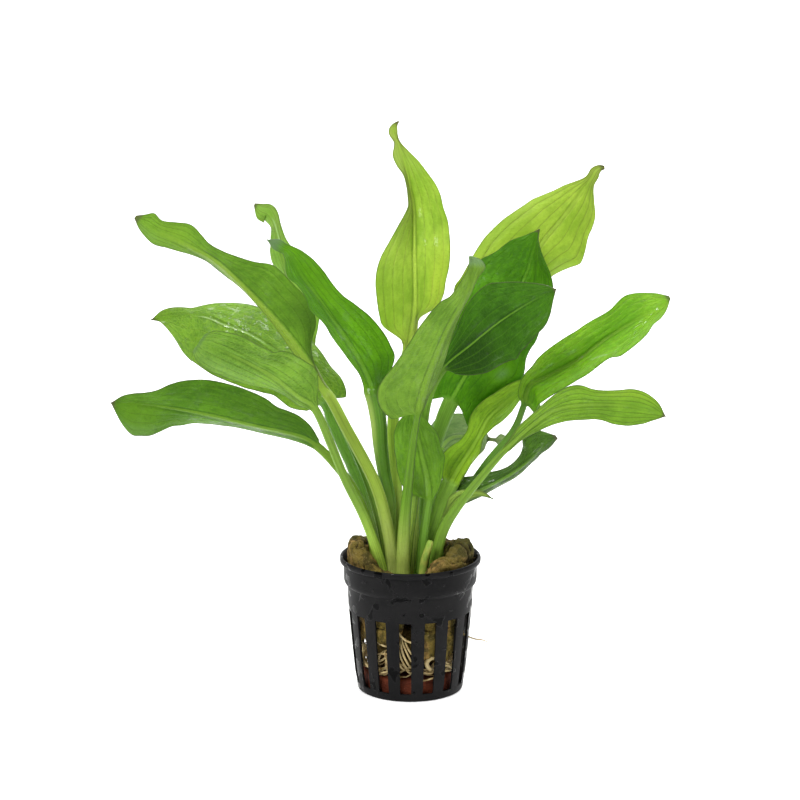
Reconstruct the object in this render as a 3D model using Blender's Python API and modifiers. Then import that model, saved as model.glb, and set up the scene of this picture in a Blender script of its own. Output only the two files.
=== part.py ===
"""Potted echinodorus: a rosette of lance-shaped leaves in a slotted black net pot.

Metres, +Z up. The origin is the centre of the pot's underside, the pot stands on Z = 0,
and the plant is seen from -Y, with +X to the right.
"""

import math

import bmesh
import bpy
import numpy as np
from mathutils import Matrix

MM = 0.001
GAP = 0.3

POT_HEIGHT = 50.8
POT_STEPS = 45
LIP_RADIUS = 26.1
LIP_INSIDE = 25.0
LIP_DEPTH = 2.2
LIP_EDGE = 0.4
WALL = 0.9
FLOOR = 1.2
BASE_RADIUS = 18.7
FOOT_BEVEL = 0.7
# Height and outer radius of the tapered wall, then of the wider collar under the lip.
WALL_OUTSIDE = ((2.4, 19.6), (31.5, 22.4), (40.2, 23.1))
COLLAR_OUTSIDE = ((40.8, 23.6), (48.2, 24.6))

SLOT_COUNT = 15
SLOT_FIRST = -5.0
SLOT_BOTTOM = 3.0
SLOT_TOP = 31.0
SLOT_WIDTHS = (4.1, 4.5)
SLOT_CUT_DEPTH = 10.0
SLOT_CUT_RADIUS = 21.5
FLOOR_SLOT_COUNT = 6
FLOOR_SLOT_WIDTH = 2.4
FLOOR_SLOT_REACH = (7.5, 15.5)

DISC_RADIUS = 17.4
DISC_HEIGHT = 6.2
DISC_EDGE = 0.8
DISC_STEPS = 24

CROWN_RADIUS = 14.0
CROWN_TOP = 41.4
CROWN_FOOT = 25.5
CROWN_STEPS = 18

TANGLE_STEPS = 16
# Height and mean radius of the root tangle, from the disc up to the crown's foot.
TANGLE_PROFILE = ((8.3, 7.5), (9.6, 11.8), (12.5, 12.8), (16.5, 12.4), (20.5, 11.5), (23.4, 9.0), (24.9, 4.7))

WOOL_INSIDE = 14.9
WOOL_CLEARANCE = 0.8
WOOL_FOOT = 23.3
WOOL_STATIONS = 14
WOOL_RIGHT = (12.0, 177.0)
WOOL_LEFT = (-177.0, -6.0)
# The wool swells over the pot's lip where its top stands between these heights or above them.
WOOL_BULGING = (49.0, 55.0)
# Angle round the pot from the front, + to the right, and the height that the wool reaches there.
WOOL_TOP = ((-180, 53), (-130, 54), (-100, 56), (-72, 57.2), (-48, 56), (-30, 49.5), (-10, 47),
            (12, 47), (26, 53.5), (40, 57.4), (60, 56.6), (90, 53), (120, 52), (180, 53))

ROOT_RADIUS = 1.25
ROOT_RING = 16.2
ROOT_HEIGHT = 14.4
ROOT_SWING = 4.3
ROOT_SWEEP = 114.0
ROOT_POINTS = 18
# Angle from +X at which each root bunch starts.
ROOTS = {"root_bunch_right": -84.0, "root_bunch_back": 36.0, "root_bunch_left": 156.0}
STRAY_RADIUS = 0.45
STRAY_ROUTE = ((18.0, 0.9, 20.6), (20, 0.5, 19.7), (23, 0, 18.5), (26, -0.6, 17.5), (28.6, -1.4, 16.4))
STUB_RADIUS = 1.4
STUB_ROUTE = ((4.2, -11.6, 41.8), (4.8, -11.8, 50), (6, -12, 55), (7.4, -11.9, 59.5))

SIGHT_PITCH = 12.76
SIGHT = np.array([0.0, math.cos(math.radians(SIGHT_PITCH)), -math.sin(math.radians(SIGHT_PITCH))])

PETIOLE_STATIONS = 7
BLADE_STATIONS = 12
BLADE_HALF_THICKNESS = 0.38
MIDRIB_HALF_THICKNESS = 0.75
TIP_HALF_WIDTH = 0.35
# Where the eight points of a leaf's section lie between its edges, and on which face.
SECTION_ACROSS = np.array([-1, -0.5, 0, 0.5, 1, 0.5, 0, -0.5])
SECTION_FACE = np.array([0, 1, 1, 1, 0, -1, -1, -1])
LEFT_FLANK = 1
RIGHT_FLANK = 3

# Each leaf is one blade and petiole. All lengths are in mm.
# rib: the midrib's route from the crown to the tip. blade: the route point where the blade begins.
# petiole: its half thickness at the crown and at the blade.
# right, left: how far each edge stands from the midrib at eleven equally spaced points along the
# blade, seen from the front and looking from the crown to the tip.
# right_lift, left_lift: how far each edge stands nearer (+) or farther (-) than the midrib.
LEAVES = {
    "leaf_upper_left": dict(
        rib=((-6.2, -8.2, 41.8), (-6.4, -8.4, 50), (-9, -9, 66.5), (-13.5, -8, 81.5), (-24, -4, 101),
             (-29.5, 0, 110.5), (-39, 3, 124), (-50, 6, 138), (-68.5, 11, 156.5), (-81, 14, 164),
             (-95.5, 17, 170.5), (-101, 18, 174.5)),
        blade=5, petiole=(2.3, 1.9),
        right=(1.9, 3, 7, 14, 15, 14, 7.2, 5, 7, 4.5, 0), left=(1.9, 1, 1, 1, 1, 1, 1.5, 2, 3.5, 4, 0),
        right_lift=(0, 1, 2, 3, 4, 4, 2, 1, 0), left_lift=(0, -6, -11, -13, -12, -9, -6, -3, 0),
        colour=(0.13, 0.30, 0.035),
    ),
    "leaf_left_back_tall": dict(
        rib=((-10.2, 6.6, 41.8), (-10.4, 7.6, 52), (-13.5, 11, 70.2), (-20, 16, 85), (-28, 24, 98.5),
             (-37.5, 34, 121), (-45, 40, 139), (-52, 46, 157), (-55.5, 50, 169.5), (-59, 51, 173.5)),
        blade=5, petiole=(2.0, 1.5),
        right=(1.5, 5, 8, 8.5, 8.5, 8, 8, 7.5, 6, 3, 0), left=(1.5, 5.5, 5.5, 5, 4.5, 3, 2, 1.5, 1, 1, 0),
        right_lift=(0, 1, 2, 2, 1, 0), left_lift=(0, -3, -6, -6, -5, -3, 0),
        colour=(0.10, 0.24, 0.03),
    ),
    "leaf_left_back_wide": dict(
        rib=((-12.4, 0.9, 41.8), (-12.8, 1.6, 50), (-15.5, 4, 63), (-21, 8, 79), (-29.5, 12, 97.5),
             (-31.5, 14, 105), (-43, 18.5, 118), (-58, 24, 128), (-69, 27, 132), (-79.5, 30, 135),
             (-97.5, 34, 133)),
        blade=5, petiole=(1.9, 1.5),
        right=(1.5, 11.5, 12.5, 13, 12, 11, 10, 7, 4, 3.5, 0),
        left=(1.5, 10.5, 12.5, 17, 19, 19, 18, 16.5, 14.5, 9, 0),
        right_lift=(0, -3, -5, -7, -8, -7, -4, -1, 0), left_lift=(0, 3, 4, 4, 3, 2, 0),
        colour=(0.11, 0.26, 0.03),
    ),
    "leaf_left_front": dict(
        rib=((-10.2, -9.4, 41.8), (-10.8, -10.2, 50), (-16.5, -14, 68), (-23.5, -18, 84), (-28.5, -22, 98),
             (-34, -26, 112), (-40.5, -28, 117.5), (-49.5, -33, 126), (-61.5, -39, 134), (-73.5, -45, 140.5)),
        blade=5, petiole=(1.8, 1.4),
        right=(1.4, 7.5, 10.5, 11.5, 11, 9.5, 8, 8, 8, 7, 4), left=(1.4, 1.5, 3, 5, 6, 7, 8, 8.5, 8.5, 7.5, 4),
        right_lift=(0, 2, 4, 6, 6, 4, 2), left_lift=(0, -6, -8, -8, -6, -4, -2),
        colour=(0.14, 0.30, 0.04),
    ),
    "leaf_left_low": dict(
        rib=((-11.9, -4.2, 41.8), (-12.4, -4.6, 50), (-16, -5, 65.5), (-21.5, -7, 77.5), (-28, -9, 87),
             (-33.5, -11, 94.5), (-40, -13, 99), (-58, -16, 104), (-75.5, -19, 109), (-93.5, -21, 112.5),
             (-107.5, -22, 113.5)),
        blade=5, petiole=(1.9, 1.5),
        right=(1.5, 4.5, 7, 10.5, 12, 12.5, 12, 10, 6.5, 3.5, 0),
        left=(1.5, 0.7, 1, 1.5, 1.5, 2.5, 4.5, 6.5, 10.5, 9.5, 0),
        right_lift=(0, 3, 3, 2, 1, 3, 5, 4, 0), left_lift=(0, -8, -11, -12, -12, -11, -7, -3, 0),
        colour=(0.13, 0.30, 0.035),
    ),
    "leaf_centre_left": dict(
        rib=((-7.8, 0.6, 41.8), (-7.8, 0.8, 56), (-8.2, 0.8, 72.5), (-10, -0.5, 83), (-11.2, -3, 95),
             (-13.5, -7, 111), (-20, -13, 129), (-28.5, -20, 145), (-39, -26, 160.5), (-44.5, -29, 169),
             (-50, -31, 174)),
        blade=5, petiole=(1.9, 1.4),
        right=(1.4, 9, 13, 13, 11.5, 9.5, 8, 7.5, 6, 0.8, 0), left=(1.4, 1, 2, 3, 4, 5, 4.5, 4, 2.5, 0.8, 0),
        right_lift=(0, 2, 3, 2, 1, 0), left_lift=(0, -8, -10, -8, -6, -3, 0),
        colour=(0.09, 0.24, 0.03),
    ),
    "leaf_front": dict(
        rib=((-2.7, -11.6, 41.8), (-2.7, -12, 51.5), (-2.2, -13, 67.5), (-0.2, -15, 84.5), (1, -19, 98.5),
             (2.5, -23, 109), (5, -28, 121), (9, -34, 133.5), (13.5, -40, 145.5), (18, -45, 155),
             (22.3, -49, 166.5), (24, -50, 172)),
        blade=5, petiole=(2.3, 1.5),
        right=(1.5, 1.5, 2, 2.5, 3, 3, 2.5, 2, 2.5, 3.5, 0),
        left=(1.5, 15.5, 14.5, 12.5, 10.5, 9.5, 7.5, 5.5, 3.5, 3, 0),
        right_lift=(0, -9, -11, -10, -8, -6, -3, 0), left_lift=(0, 2, 3, 3, 2, 1, 0),
        colour=(0.16, 0.36, 0.045),
    ),
    "leaf_top": dict(
        rib=((-4.4, 5, 41.8), (-4.4, 5, 52), (-4.6, 5.2, 63), (-4.9, 6, 78), (-6, 8, 92.5), (-3.8, 12, 110.5),
             (-0.5, 15, 127), (-0.1, 20, 143), (0.3, 27, 164), (-0.8, 33, 184), (-3.1, 36, 193),
             (-5.3, 38, 199.5), (-4.2, 40, 207)),
        blade=6, petiole=(2.0, 1.5),
        right=(1.5, 3, 12.5, 14, 15, 15, 13, 9.6, 5, 1, 0),
        left=(1.5, 10, 12, 13.5, 11.5, 6, 1, 1, 1.5, 1.5, 0),
        right_lift=(0, -2, 0, 2, 2, 1, 0), left_lift=(0, 3, 4, 5, 9, 12, 9, 5, 1, 0),
        colour=(0.30, 0.50, 0.06),
    ),
    "leaf_upper_right": dict(
        rib=((0.8, 7, 41.8), (0.8, 7.2, 50), (2.5, 9, 69), (7, 12.5, 87), (14.5, 16.5, 105.5), (25, 22, 125.5),
             (35.5, 28, 141.5), (48.5, 38, 160), (58, 45, 170.5), (71, 55, 184.5), (73.5, 57, 187)),
        blade=5, petiole=(2.0, 1.5),
        right=(1.5, 4, 7.5, 8.5, 10.5, 12, 15.5, 13.5, 10.5, 2, 0),
        left=(1.5, 14, 18.5, 19, 19, 18, 14.5, 11, 6.2, 2, 0),
        right_lift=(0, -9, -11, -10, -8, -5, -2, 0), left_lift=(0, 2, 3, 3, 2, 1, 0),
        colour=(0.28, 0.47, 0.06),
    ),
    "leaf_right_back_broad": dict(
        rib=((4.8, 3.2, 41.8), (4.9, 3.5, 52), (5.2, 4.8, 71), (7.5, 6, 89.2), (11, 7.5, 99), (14.5, 9, 105.5),
             (19, 11, 114), (27.5, 14, 127), (37, 18, 141.5), (43, 22, 152.5), (46, 25, 162.5), (47, 26, 167)),
        blade=6, petiole=(1.9, 2.4),
        right=(2.4, 15, 17.5, 14.5, 14.5, 14, 13.5, 11, 6, 1, 0),
        left=(2.4, 14.5, 15.5, 15, 15, 15, 17, 18.5, 16, 9, 0),
        right_lift=(0, -3, -5, -6, -5, -3, 0), left_lift=(0, 2, 2, 0, -2, -2, 0),
        colour=(0.10, 0.25, 0.025),
    ),
    "leaf_right_front_broad": dict(
        rib=((-2, -4.8, 41.8), (-1.6, -4.6, 50), (1.5, -3.6, 72), (5, -3.2, 91), (8, -4, 110),
             (12.5, -6, 122.5), (21.5, -10, 132), (32, -14, 141.5), (42.5, -19, 149.5), (51.5, -23, 155)),
        blade=5, petiole=(1.9, 1.5),
        right=(1.5, 7.5, 11, 12, 12.5, 14, 13.5, 12.5, 11, 6.5, 0),
        left=(1.5, 6.5, 8.5, 11.5, 14, 15, 14, 12, 8.5, 4.5, 0),
        right_lift=(0, 2, 3, 3, 2, 1, 0), left_lift=(0, -2, -4, -4, -3, -1, 0),
        colour=(0.06, 0.18, 0.02),
    ),
    "leaf_right": dict(
        rib=((9.4, 4.4, 41.8), (10, 5, 50), (14, 6.4, 60), (21, 7.4, 71), (28.7, 7.8, 84), (38, 7.6, 96.2),
             (41.8, 7.4, 105.7), (44, 7.4, 113), (50, 7.5, 116.6), (62, 9, 123), (73, 10.5, 131),
             (95.5, 12, 145)),
        blade=6, petiole=(1.7, 1.2),
        right=(1.2, 6, 6.5, 6.5, 5.5, 7, 8, 8, 6, 4, 0), left=(1.2, 7, 8.5, 9.5, 9.5, 9, 8.5, 9.5, 9, 5.5, 0),
        right_lift=(0, 6, 8, 8, 7, 5, 3, 1, 0), left_lift=(0, 2, 3, 3, 2, 1, 0),
        colour=(0.13, 0.30, 0.035),
    ),
    "leaf_right_low": dict(
        rib=((9.8, -5.8, 41.8), (10, -5.8, 50), (12.4, -5.8, 60.5), (16.3, -7, 69), (24.5, -10, 81),
             (33.5, -13, 93), (44, -16, 104), (53.5, -20, 111), (67.5, -25, 113.5), (81.5, -30, 113.5),
             (90, -34, 111.5)),
        blade=5, petiole=(2.0, 1.5),
        right=(1.5, 2.5, 4.5, 5, 5, 5.5, 5.5, 6, 6.5, 3.5, 0),
        left=(1.5, 1.6, 3, 4, 6.5, 7.5, 6, 5.5, 6.5, 5.5, 0),
        right_lift=(0, -1, -2, -2, -2, -1, 0), left_lift=(0, 2, 2, 3, 2, 1, 0),
        colour=(0.17, 0.36, 0.045),
    ),
    "leaf_right_inner": dict(
        rib=((1.8, -1.4, 41.8), (1.9, -1.5, 52), (3, -1, 61.5), (6.8, 0, 70), (11.5, 1, 76.5), (17, 3, 83),
             (22.5, 5, 90), (25, 6, 94), (29, 8, 102.5), (35.5, 11, 107.5), (41.5, 14, 111), (46.5, 16, 112.5)),
        blade=4, petiole=(2.2, 2.3),
        right=(2.3, 4, 4, 3.5, 2, 3.5, 5.5, 5.5, 4.5, 2.5, 0),
        left=(2.3, 4.2, 4.5, 4, 7, 11, 8.5, 5, 3, 1.5, 0),
        right_lift=(0, 1.5, 2, 1, -2, -4, -3, -1, 0), left_lift=(0, 1.5, 2, 1, 1, 2, 2, 1, 0),
        colour=(0.12, 0.29, 0.03),
    ),
    "leaf_young_centre": dict(
        rib=((4.3, -6.6, 41.8), (4.3, -6.6, 54), (6, -6.4, 69), (6.6, -6.6, 73.5), (6.1, -7, 81),
             (4.6, -7.6, 88.5), (3.3, -8, 94.5), (1.3, -9, 104), (0.6, -9.5, 108.5)),
        blade=3, petiole=(2.0, 1.5),
        right=(1.5, 1.6, 3.5, 7, 9, 8, 8, 7.5, 6, 4, 0), left=(1.5, 5, 7, 7.5, 8.5, 8, 8, 7, 6, 3.5, 0),
        right_lift=(0, -1, -2, 0, 1, 0), left_lift=(0, -1, -2, 0, 1, 0),
        colour=(0.12, 0.30, 0.035),
    ),
    "leaf_back_right": dict(
        rib=((5.8, 8.6, 41.8), (6.4, 9.6, 50), (7.6, 12, 61), (8, 16, 71.5), (8.5, 20.5, 80), (11.5, 26, 85),
             (16, 31, 88), (22, 36, 87), (26.5, 40, 83.5), (28.5, 42, 81)),
        blade=5, petiole=(1.8, 1.3),
        right=(1.3, 5, 8, 8.5, 8, 8.5, 9, 9, 7.5, 5, 0), left=(1.3, 11, 12.5, 9, 8.5, 8.5, 8, 7.5, 5.5, 2.5, 0),
        right_lift=(0, -1, -2, -1, 0), left_lift=(0, 1, 2, 1, 0),
        colour=(0.14, 0.27, 0.05),
    ),
    "leaf_back_far": dict(
        rib=((-3.6, 10.6, 41.8), (-3.6, 11.6, 50), (-1, 14, 60.5), (2, 20, 74), (5.5, 28, 87.5), (11.5, 35, 97),
             (19, 42, 100), (27, 49, 96.5), (33, 54, 89.5), (36.5, 58, 80.5)),
        blade=5, petiole=(1.8, 1.3),
        right=(1.3, 6, 8.5, 9.5, 9, 9, 8, 5.5, 4.5, 3, 0), left=(1.3, 5.5, 7, 7.5, 7.5, 6.5, 6.5, 7, 5, 4, 0),
        right_lift=(0, 1, 2, 1, 0), left_lift=(0, 1, 2, 1, 0),
        colour=(0.12, 0.26, 0.045),
    ),
    "leaf_curled": dict(
        rib=((12.6, 0, 41.8), (13, 0.2, 52), (13, 0.4, 60), (14, 0.7, 66), (17, 0.9, 71), (21, 1, 73.5),
             (26.5, 1, 75.5), (37, 0, 81.5), (44, -1.5, 87.5), (48, -2.5, 92), (53.5, -4, 96.5)),
        blade=3, petiole=(1.6, 1.3),
        right=(1.3, 2.5, 3, 2.5, 2, 2, 2, 1.5, 1.5, 1.5, 0), left=(1.3, 4, 6.5, 6, 5, 4, 3, 3, 6.5, 6, 0),
        right_lift=(0, -2, -3, -3, -3, -2, 0), left_lift=(0, -1, -2, -3, -4, -2, 0),
        colour=(0.05, 0.13, 0.02),
    ),
    "leaf_fragment": dict(
        rib=((7.2, -2, 41.8), (8.4, -2.2, 50), (10, -2.4, 57), (11.5, -2.8, 65), (13.6, -3, 71), (17, -3, 74.3),
             (22, -2.5, 75.5), (26.5, -2, 74.5), (30.5, -1.5, 72.5)),
        blade=3, petiole=(1.3, 1.0),
        right=(1, 2, 3, 3, 3, 2.5, 2, 1.5, 1, 0.6, 0), left=(1, 1.5, 2, 3, 3, 2.5, 1.5, 1.2, 1, 0.6, 0),
        right_lift=(0, 0), left_lift=(0, 0),
        colour=(0.22, 0.40, 0.07),
    ),
}


def material(name, colour, roughness, metallic=0.0):
    mat = bpy.data.materials.new(name)
    mat.use_nodes = True
    shader = mat.node_tree.nodes["Principled BSDF"]
    shader.inputs["Base Color"].default_value = (*colour, 1.0)
    shader.inputs["Roughness"].default_value = roughness
    shader.inputs["Metallic"].default_value = metallic
    return mat


def new_object(name, mesh, collection, mat=None):
    obj = bpy.data.objects.new(name, mesh)
    collection.objects.link(obj)
    if mat is not None:
        mesh.materials.append(mat)
    return obj


def unit(v):
    return v / np.linalg.norm(v, axis=-1, keepdims=True)


def smooth_route(points, samples):
    """A Catmull-Rom curve through the points, its length so far at each sample, and at each point."""
    p = np.array(points, float)
    padded = np.vstack([2 * p[0] - p[1], p, 2 * p[-1] - p[-2]])
    spans = len(p) - 1
    u = np.linspace(0, spans, samples)
    i = np.minimum(u.astype(int), spans - 1)
    f = (u - i)[:, None]
    a, b, c, d = (padded[i + k] for k in range(4))
    curve = 0.5 * (2 * b + (c - a) * f + (2 * a - 5 * b + 4 * c - d) * f**2 + (3 * b - a - 3 * c + d) * f**3)
    length = np.concatenate([[0], np.cumsum(np.linalg.norm(np.diff(curve, axis=0), axis=1))])
    return curve, length, np.interp(np.arange(len(p)), u, length)


def evenly(values, t):
    """The listed values, equally spaced over 0 to 1, read at t on a smooth curve."""
    steps = np.column_stack([np.arange(len(values)), np.array(values, float)])
    curve, _, _ = smooth_route(steps, 30 * len(values))
    return np.interp(t * (len(values) - 1), curve[:, 0], curve[:, 1])


def leaf_rings(rib, blade, petiole, right, left, right_lift, left_lift):
    """Rings of points round the petiole, then round the blade: each ring runs over the near face
    from the left edge to the right edge and back over the far face."""
    curve, length, marks = smooth_route(rib, 300)
    start = marks[blade]
    end = length[-1]
    s = np.concatenate([
        np.linspace(0, start, PETIOLE_STATIONS)[:-1],
        np.linspace(start, end, BLADE_STATIONS),
    ])
    centre = np.stack([np.interp(s, length, curve[:, k]) for k in range(3)], axis=1)
    slope = np.gradient(curve, length, axis=0)
    tangent = unit(np.stack([np.interp(s, length, slope[:, k]) for k in range(3)], axis=1))
    across = unit(np.cross(SIGHT, tangent))
    nearer = np.cross(across, tangent)
    nearer *= -np.sign(nearer @ SIGHT)[:, None]

    t = np.clip((s - start) / (end - start), 0, 1)
    in_blade = s > start
    stalk = np.interp(s, [0, start], petiole)
    rib_half = stalk + (MIDRIB_HALF_THICKNESS * (1 - 0.5 * t) - stalk) * np.minimum(t * 3, 1)
    flat_half = stalk + (BLADE_HALF_THICKNESS - stalk) * np.minimum(t * 8, 1)

    on_right = SECTION_ACROSS >= 0
    reach = np.where(on_right, evenly(right, t)[:, None], evenly(left, t)[:, None])
    reach = np.where(in_blade[:, None], np.maximum(reach, TIP_HALF_WIDTH), stalk[:, None])
    rise = np.where(on_right, evenly(right_lift, t)[:, None], evenly(left_lift, t)[:, None])
    rise = np.where(in_blade[:, None], rise, 0)
    # Each half of the blade is thickened square to itself, and the midrib along the line that halves
    # the angle between them.
    fold = np.arctan2(rise, reach)
    square = np.stack([-np.where(on_right, 1, -1) * np.sin(fold), np.cos(fold)], axis=-1)
    at_rib = SECTION_ACROSS == 0
    square[:, at_rib] = unit(square[:, LEFT_FLANK] + square[:, RIGHT_FLANK])[:, None]
    thick = np.where(at_rib, rib_half[:, None], flat_half[:, None] * math.sin(math.radians(60)))
    out = reach * SECTION_ACROSS + SECTION_FACE * thick * square[..., 0]
    lift = rise * np.abs(SECTION_ACROSS) + SECTION_FACE * thick * square[..., 1]
    return centre[:, None] + out[..., None] * across[:, None] + lift[..., None] * nearer[:, None]


def skin(name, rings, pointed, collection, mat):
    """A closed mesh over a stack of rings, capped at the first and capped or drawn to a point at the last.
    The second half of each ring is split along the mirror image of the first half's diagonals, so
    that the two faces of a warped blade stay side by side."""
    bm = bmesh.new()
    rows = [[bm.verts.new(p * MM) for p in ring] for ring in rings]
    count = len(rows[0])
    for low, high in zip(rows, rows[1:]):
        for i in range(count):
            j = (i + 1) % count
            if i < count / 2:
                bm.faces.new((low[i], low[j], high[j]))
                bm.faces.new((low[i], high[j], high[i]))
            else:
                bm.faces.new((low[i], low[j], high[i]))
                bm.faces.new((low[j], high[j], high[i]))
    bm.faces.new(rows[0][::-1])
    if pointed:
        middle = sum((v.co for v in rows[-1][1:]), rows[-1][0].co) / count
        bmesh.ops.pointmerge(bm, verts=rows[-1], merge_co=middle)
    else:
        bm.faces.new(rows[-1])
    bmesh.ops.recalc_face_normals(bm, faces=bm.faces)
    mesh = bpy.data.meshes.new(name)
    bm.to_mesh(mesh)
    bm.free()
    mesh.shade_smooth()
    return new_object(name, mesh, collection, mat)


def make_leaf(name, leaf, collection):
    shape = dict(leaf)
    mat = material(name, shape.pop("colour"), 0.3)
    return skin(name, leaf_rings(**shape), True, collection, mat)


def turned(name, profile, steps, collection, mat):
    """A shape turned about Z from a profile of (radius, height) points, running down its outer side."""
    mesh = bpy.data.meshes.new(name)
    points = [(r * MM, 0.0, z * MM) for r, z in profile]
    edges = [(i, i + 1) for i in range(len(points) - 1)]
    mesh.from_pydata(points, edges, [])
    obj = new_object(name, mesh, collection, mat)
    screw = obj.modifiers.new("turn", "SCREW")
    screw.axis = "Z"
    screw.steps = steps
    screw.render_steps = steps
    screw.use_merge_vertices = True
    screw.merge_threshold = 0.00001
    screw.use_smooth_shade = True
    return obj


def tapered_block(bm, bottom, top, low, high, matrix):
    """A block from height low to high, of the bottom size there and the top size, both (X, Y) in mm."""
    for v in bmesh.ops.create_cube(bm, size=1.0)["verts"]:
        size = top if v.co.z > 0 else bottom
        height = high if v.co.z > 0 else low
        v.co = matrix @ Matrix.Diagonal((size[0] * MM, size[1] * MM, 0, 1)) @ v.co
        v.co.z = height * MM


def slot_cutters(collection):
    bm = bmesh.new()
    for i in range(SLOT_COUNT):
        angle = math.radians(SLOT_FIRST + 360 / SLOT_COUNT * i - 90)
        place = Matrix.Rotation(angle, 4, "Z") @ Matrix.Translation((SLOT_CUT_RADIUS * MM, 0, 0))
        narrow, wide = ((SLOT_CUT_DEPTH, width) for width in SLOT_WIDTHS)
        tapered_block(bm, narrow, wide, SLOT_BOTTOM, SLOT_TOP, place)
    inner, outer = FLOOR_SLOT_REACH
    size = (outer - inner, FLOOR_SLOT_WIDTH)
    for i in range(FLOOR_SLOT_COUNT):
        angle = math.radians(360 / FLOOR_SLOT_COUNT * i)
        place = Matrix.Rotation(angle, 4, "Z") @ Matrix.Translation(((inner + outer) / 2 * MM, 0, 0))
        tapered_block(bm, size, size, -FLOOR, 2 * FLOOR, place)
    mesh = bpy.data.meshes.new("pot_slots")
    bm.to_mesh(mesh)
    bm.free()
    slots = new_object("pot_slots", mesh, collection)
    slots.hide_render = True
    slots.display_type = "WIRE"
    return slots


def make_pot(collection, cutters, mat):
    inside = [(r - WALL, z) for z, r in WALL_OUTSIDE + COLLAR_OUTSIDE]
    lip_foot = POT_HEIGHT - LIP_DEPTH
    profile = [(0, FLOOR), (inside[0][0] - FOOT_BEVEL, FLOOR)] + inside
    profile += [(LIP_INSIDE, POT_HEIGHT - LIP_EDGE), (LIP_INSIDE + LIP_EDGE, POT_HEIGHT)]
    profile += [(LIP_RADIUS - LIP_EDGE, POT_HEIGHT), (LIP_RADIUS, POT_HEIGHT - LIP_EDGE)]
    profile += [(LIP_RADIUS, lip_foot + LIP_EDGE), (LIP_RADIUS - LIP_EDGE, lip_foot)]
    profile += [(r, z) for z, r in COLLAR_OUTSIDE[::-1] + WALL_OUTSIDE[::-1]]
    profile += [(BASE_RADIUS + FOOT_BEVEL, FOOT_BEVEL), (BASE_RADIUS, 0), (0, 0)]
    pot = turned("pot", profile, POT_STEPS, collection, mat)
    cut = pot.modifiers.new("slots", "BOOLEAN")
    cut.object = slot_cutters(cutters)
    cut.operation = "DIFFERENCE"
    cut.solver = "EXACT"


def make_disc(collection, mat):
    low = FLOOR + GAP
    high = low + DISC_HEIGHT
    profile = [(0, high), (DISC_RADIUS - DISC_EDGE, high), (DISC_RADIUS, high - DISC_EDGE)]
    profile += [(DISC_RADIUS, low + DISC_EDGE), (DISC_RADIUS - DISC_EDGE, low), (0, low)]
    turned("clay_disc", profile, DISC_STEPS, collection, mat)


def make_crown(collection, mat):
    profile = [(0, CROWN_TOP), (CROWN_RADIUS - 2.5, CROWN_TOP - 0.2), (CROWN_RADIUS, CROWN_TOP - 2.4)]
    profile += [(CROWN_RADIUS - 1.2, CROWN_TOP - 8), (8.2, CROWN_FOOT + 3), (4.5, CROWN_FOOT), (0, CROWN_FOOT)]
    turned("crown", profile, CROWN_STEPS, collection, mat)


def make_tangle(collection, mat):
    """The matted heart of the roots under the crown: rings whose radius waves three and five times round."""
    a = np.linspace(0, 2 * math.pi, TANGLE_STEPS, endpoint=False)
    rings = []
    for z, r in TANGLE_PROFILE:
        radius = r * (1 + 0.07 * np.sin(3 * a + z * 0.4) + 0.05 * np.sin(5 * a - z * 0.7))
        rings.append(np.stack([radius * np.cos(a), radius * np.sin(a), np.full_like(a, z)], axis=1))
    skin("root_tangle", rings, False, collection, mat)


def pot_inside(z):
    heights, radii = zip(*(WALL_OUTSIDE + COLLAR_OUTSIDE))
    return np.interp(z, heights, radii) - WALL


def wool_reach(z):
    return pot_inside(z) - WOOL_CLEARANCE


def make_wool(name, span, collection, mat):
    """Half of the torn plug: a lumpy section carried round the crown from one angle to the other."""
    rings = []
    for angle in np.linspace(*span, WOOL_STATIONS):
        a = math.radians(angle)
        top = np.interp(angle, *zip(*WOOL_TOP))
        foot = WOOL_FOOT + 1.0 * math.sin(2 * a + 0.6) + 0.8 * math.sin(5 * a)
        lump = 0.7 * math.sin(4 * a + 1.0) + 0.5 * math.sin(7 * a)
        inner = WOOL_INSIDE + 2.2 * math.exp(-(((angle + 55) / 30) ** 2))
        waist = min(46, top - 4.6)
        bulge = np.interp(top, WOOL_BULGING, (0, 0.4 + 0.3 * lump))
        section = (
            (inner, 30), (inner, 42), (inner + 0.7, top - 3), (inner + 2.0, top - 0.4),
            (wool_reach(46) - 1.8, top - 0.5), (wool_reach(top - 3.2) + bulge, top - 3.2),
            (wool_reach(waist), waist), (wool_reach(32), 32),
            (wool_reach(foot + 4) - 0.6 + lump * 0.4, foot + 3),
            (17.2 + lump * 0.5, foot), (inner, foot + 1.5),
        )
        rings.append(np.array([(r * math.sin(a), -r * math.cos(a), z) for r, z in section]))
    skin(name, rings, False, collection, mat)


def tube(name, points, radius, collection, mat):
    curve = bpy.data.curves.new(name, "CURVE")
    curve.dimensions = "3D"
    curve.bevel_depth = radius * MM
    curve.bevel_resolution = 1
    curve.use_fill_caps = True
    spline = curve.splines.new("POLY")
    spline.points.add(len(points) - 1)
    for point, p in zip(spline.points, points):
        point.co = (*(np.array(p) * MM), 1.0)
    curve.materials.append(mat)
    obj = bpy.data.objects.new(name, curve)
    collection.objects.link(obj)


def make_root(name, first, collection, mat):
    """A bunch of roots that winds up and down round the tangle, in the gap that the slots show."""
    t = np.linspace(0, 1, ROOT_POINTS)
    angle = np.radians(first + ROOT_SWEEP * t)
    radius = ROOT_RING + 0.5 * np.sin(t * 12)
    height = ROOT_HEIGHT + ROOT_SWING * np.cos(t * 4 * math.pi)
    points = np.stack([radius * np.cos(angle), radius * np.sin(angle), height], axis=1)
    tube(name, points, ROOT_RADIUS, collection, mat)


for old in list(bpy.data.objects):
    bpy.data.objects.remove(old)

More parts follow.
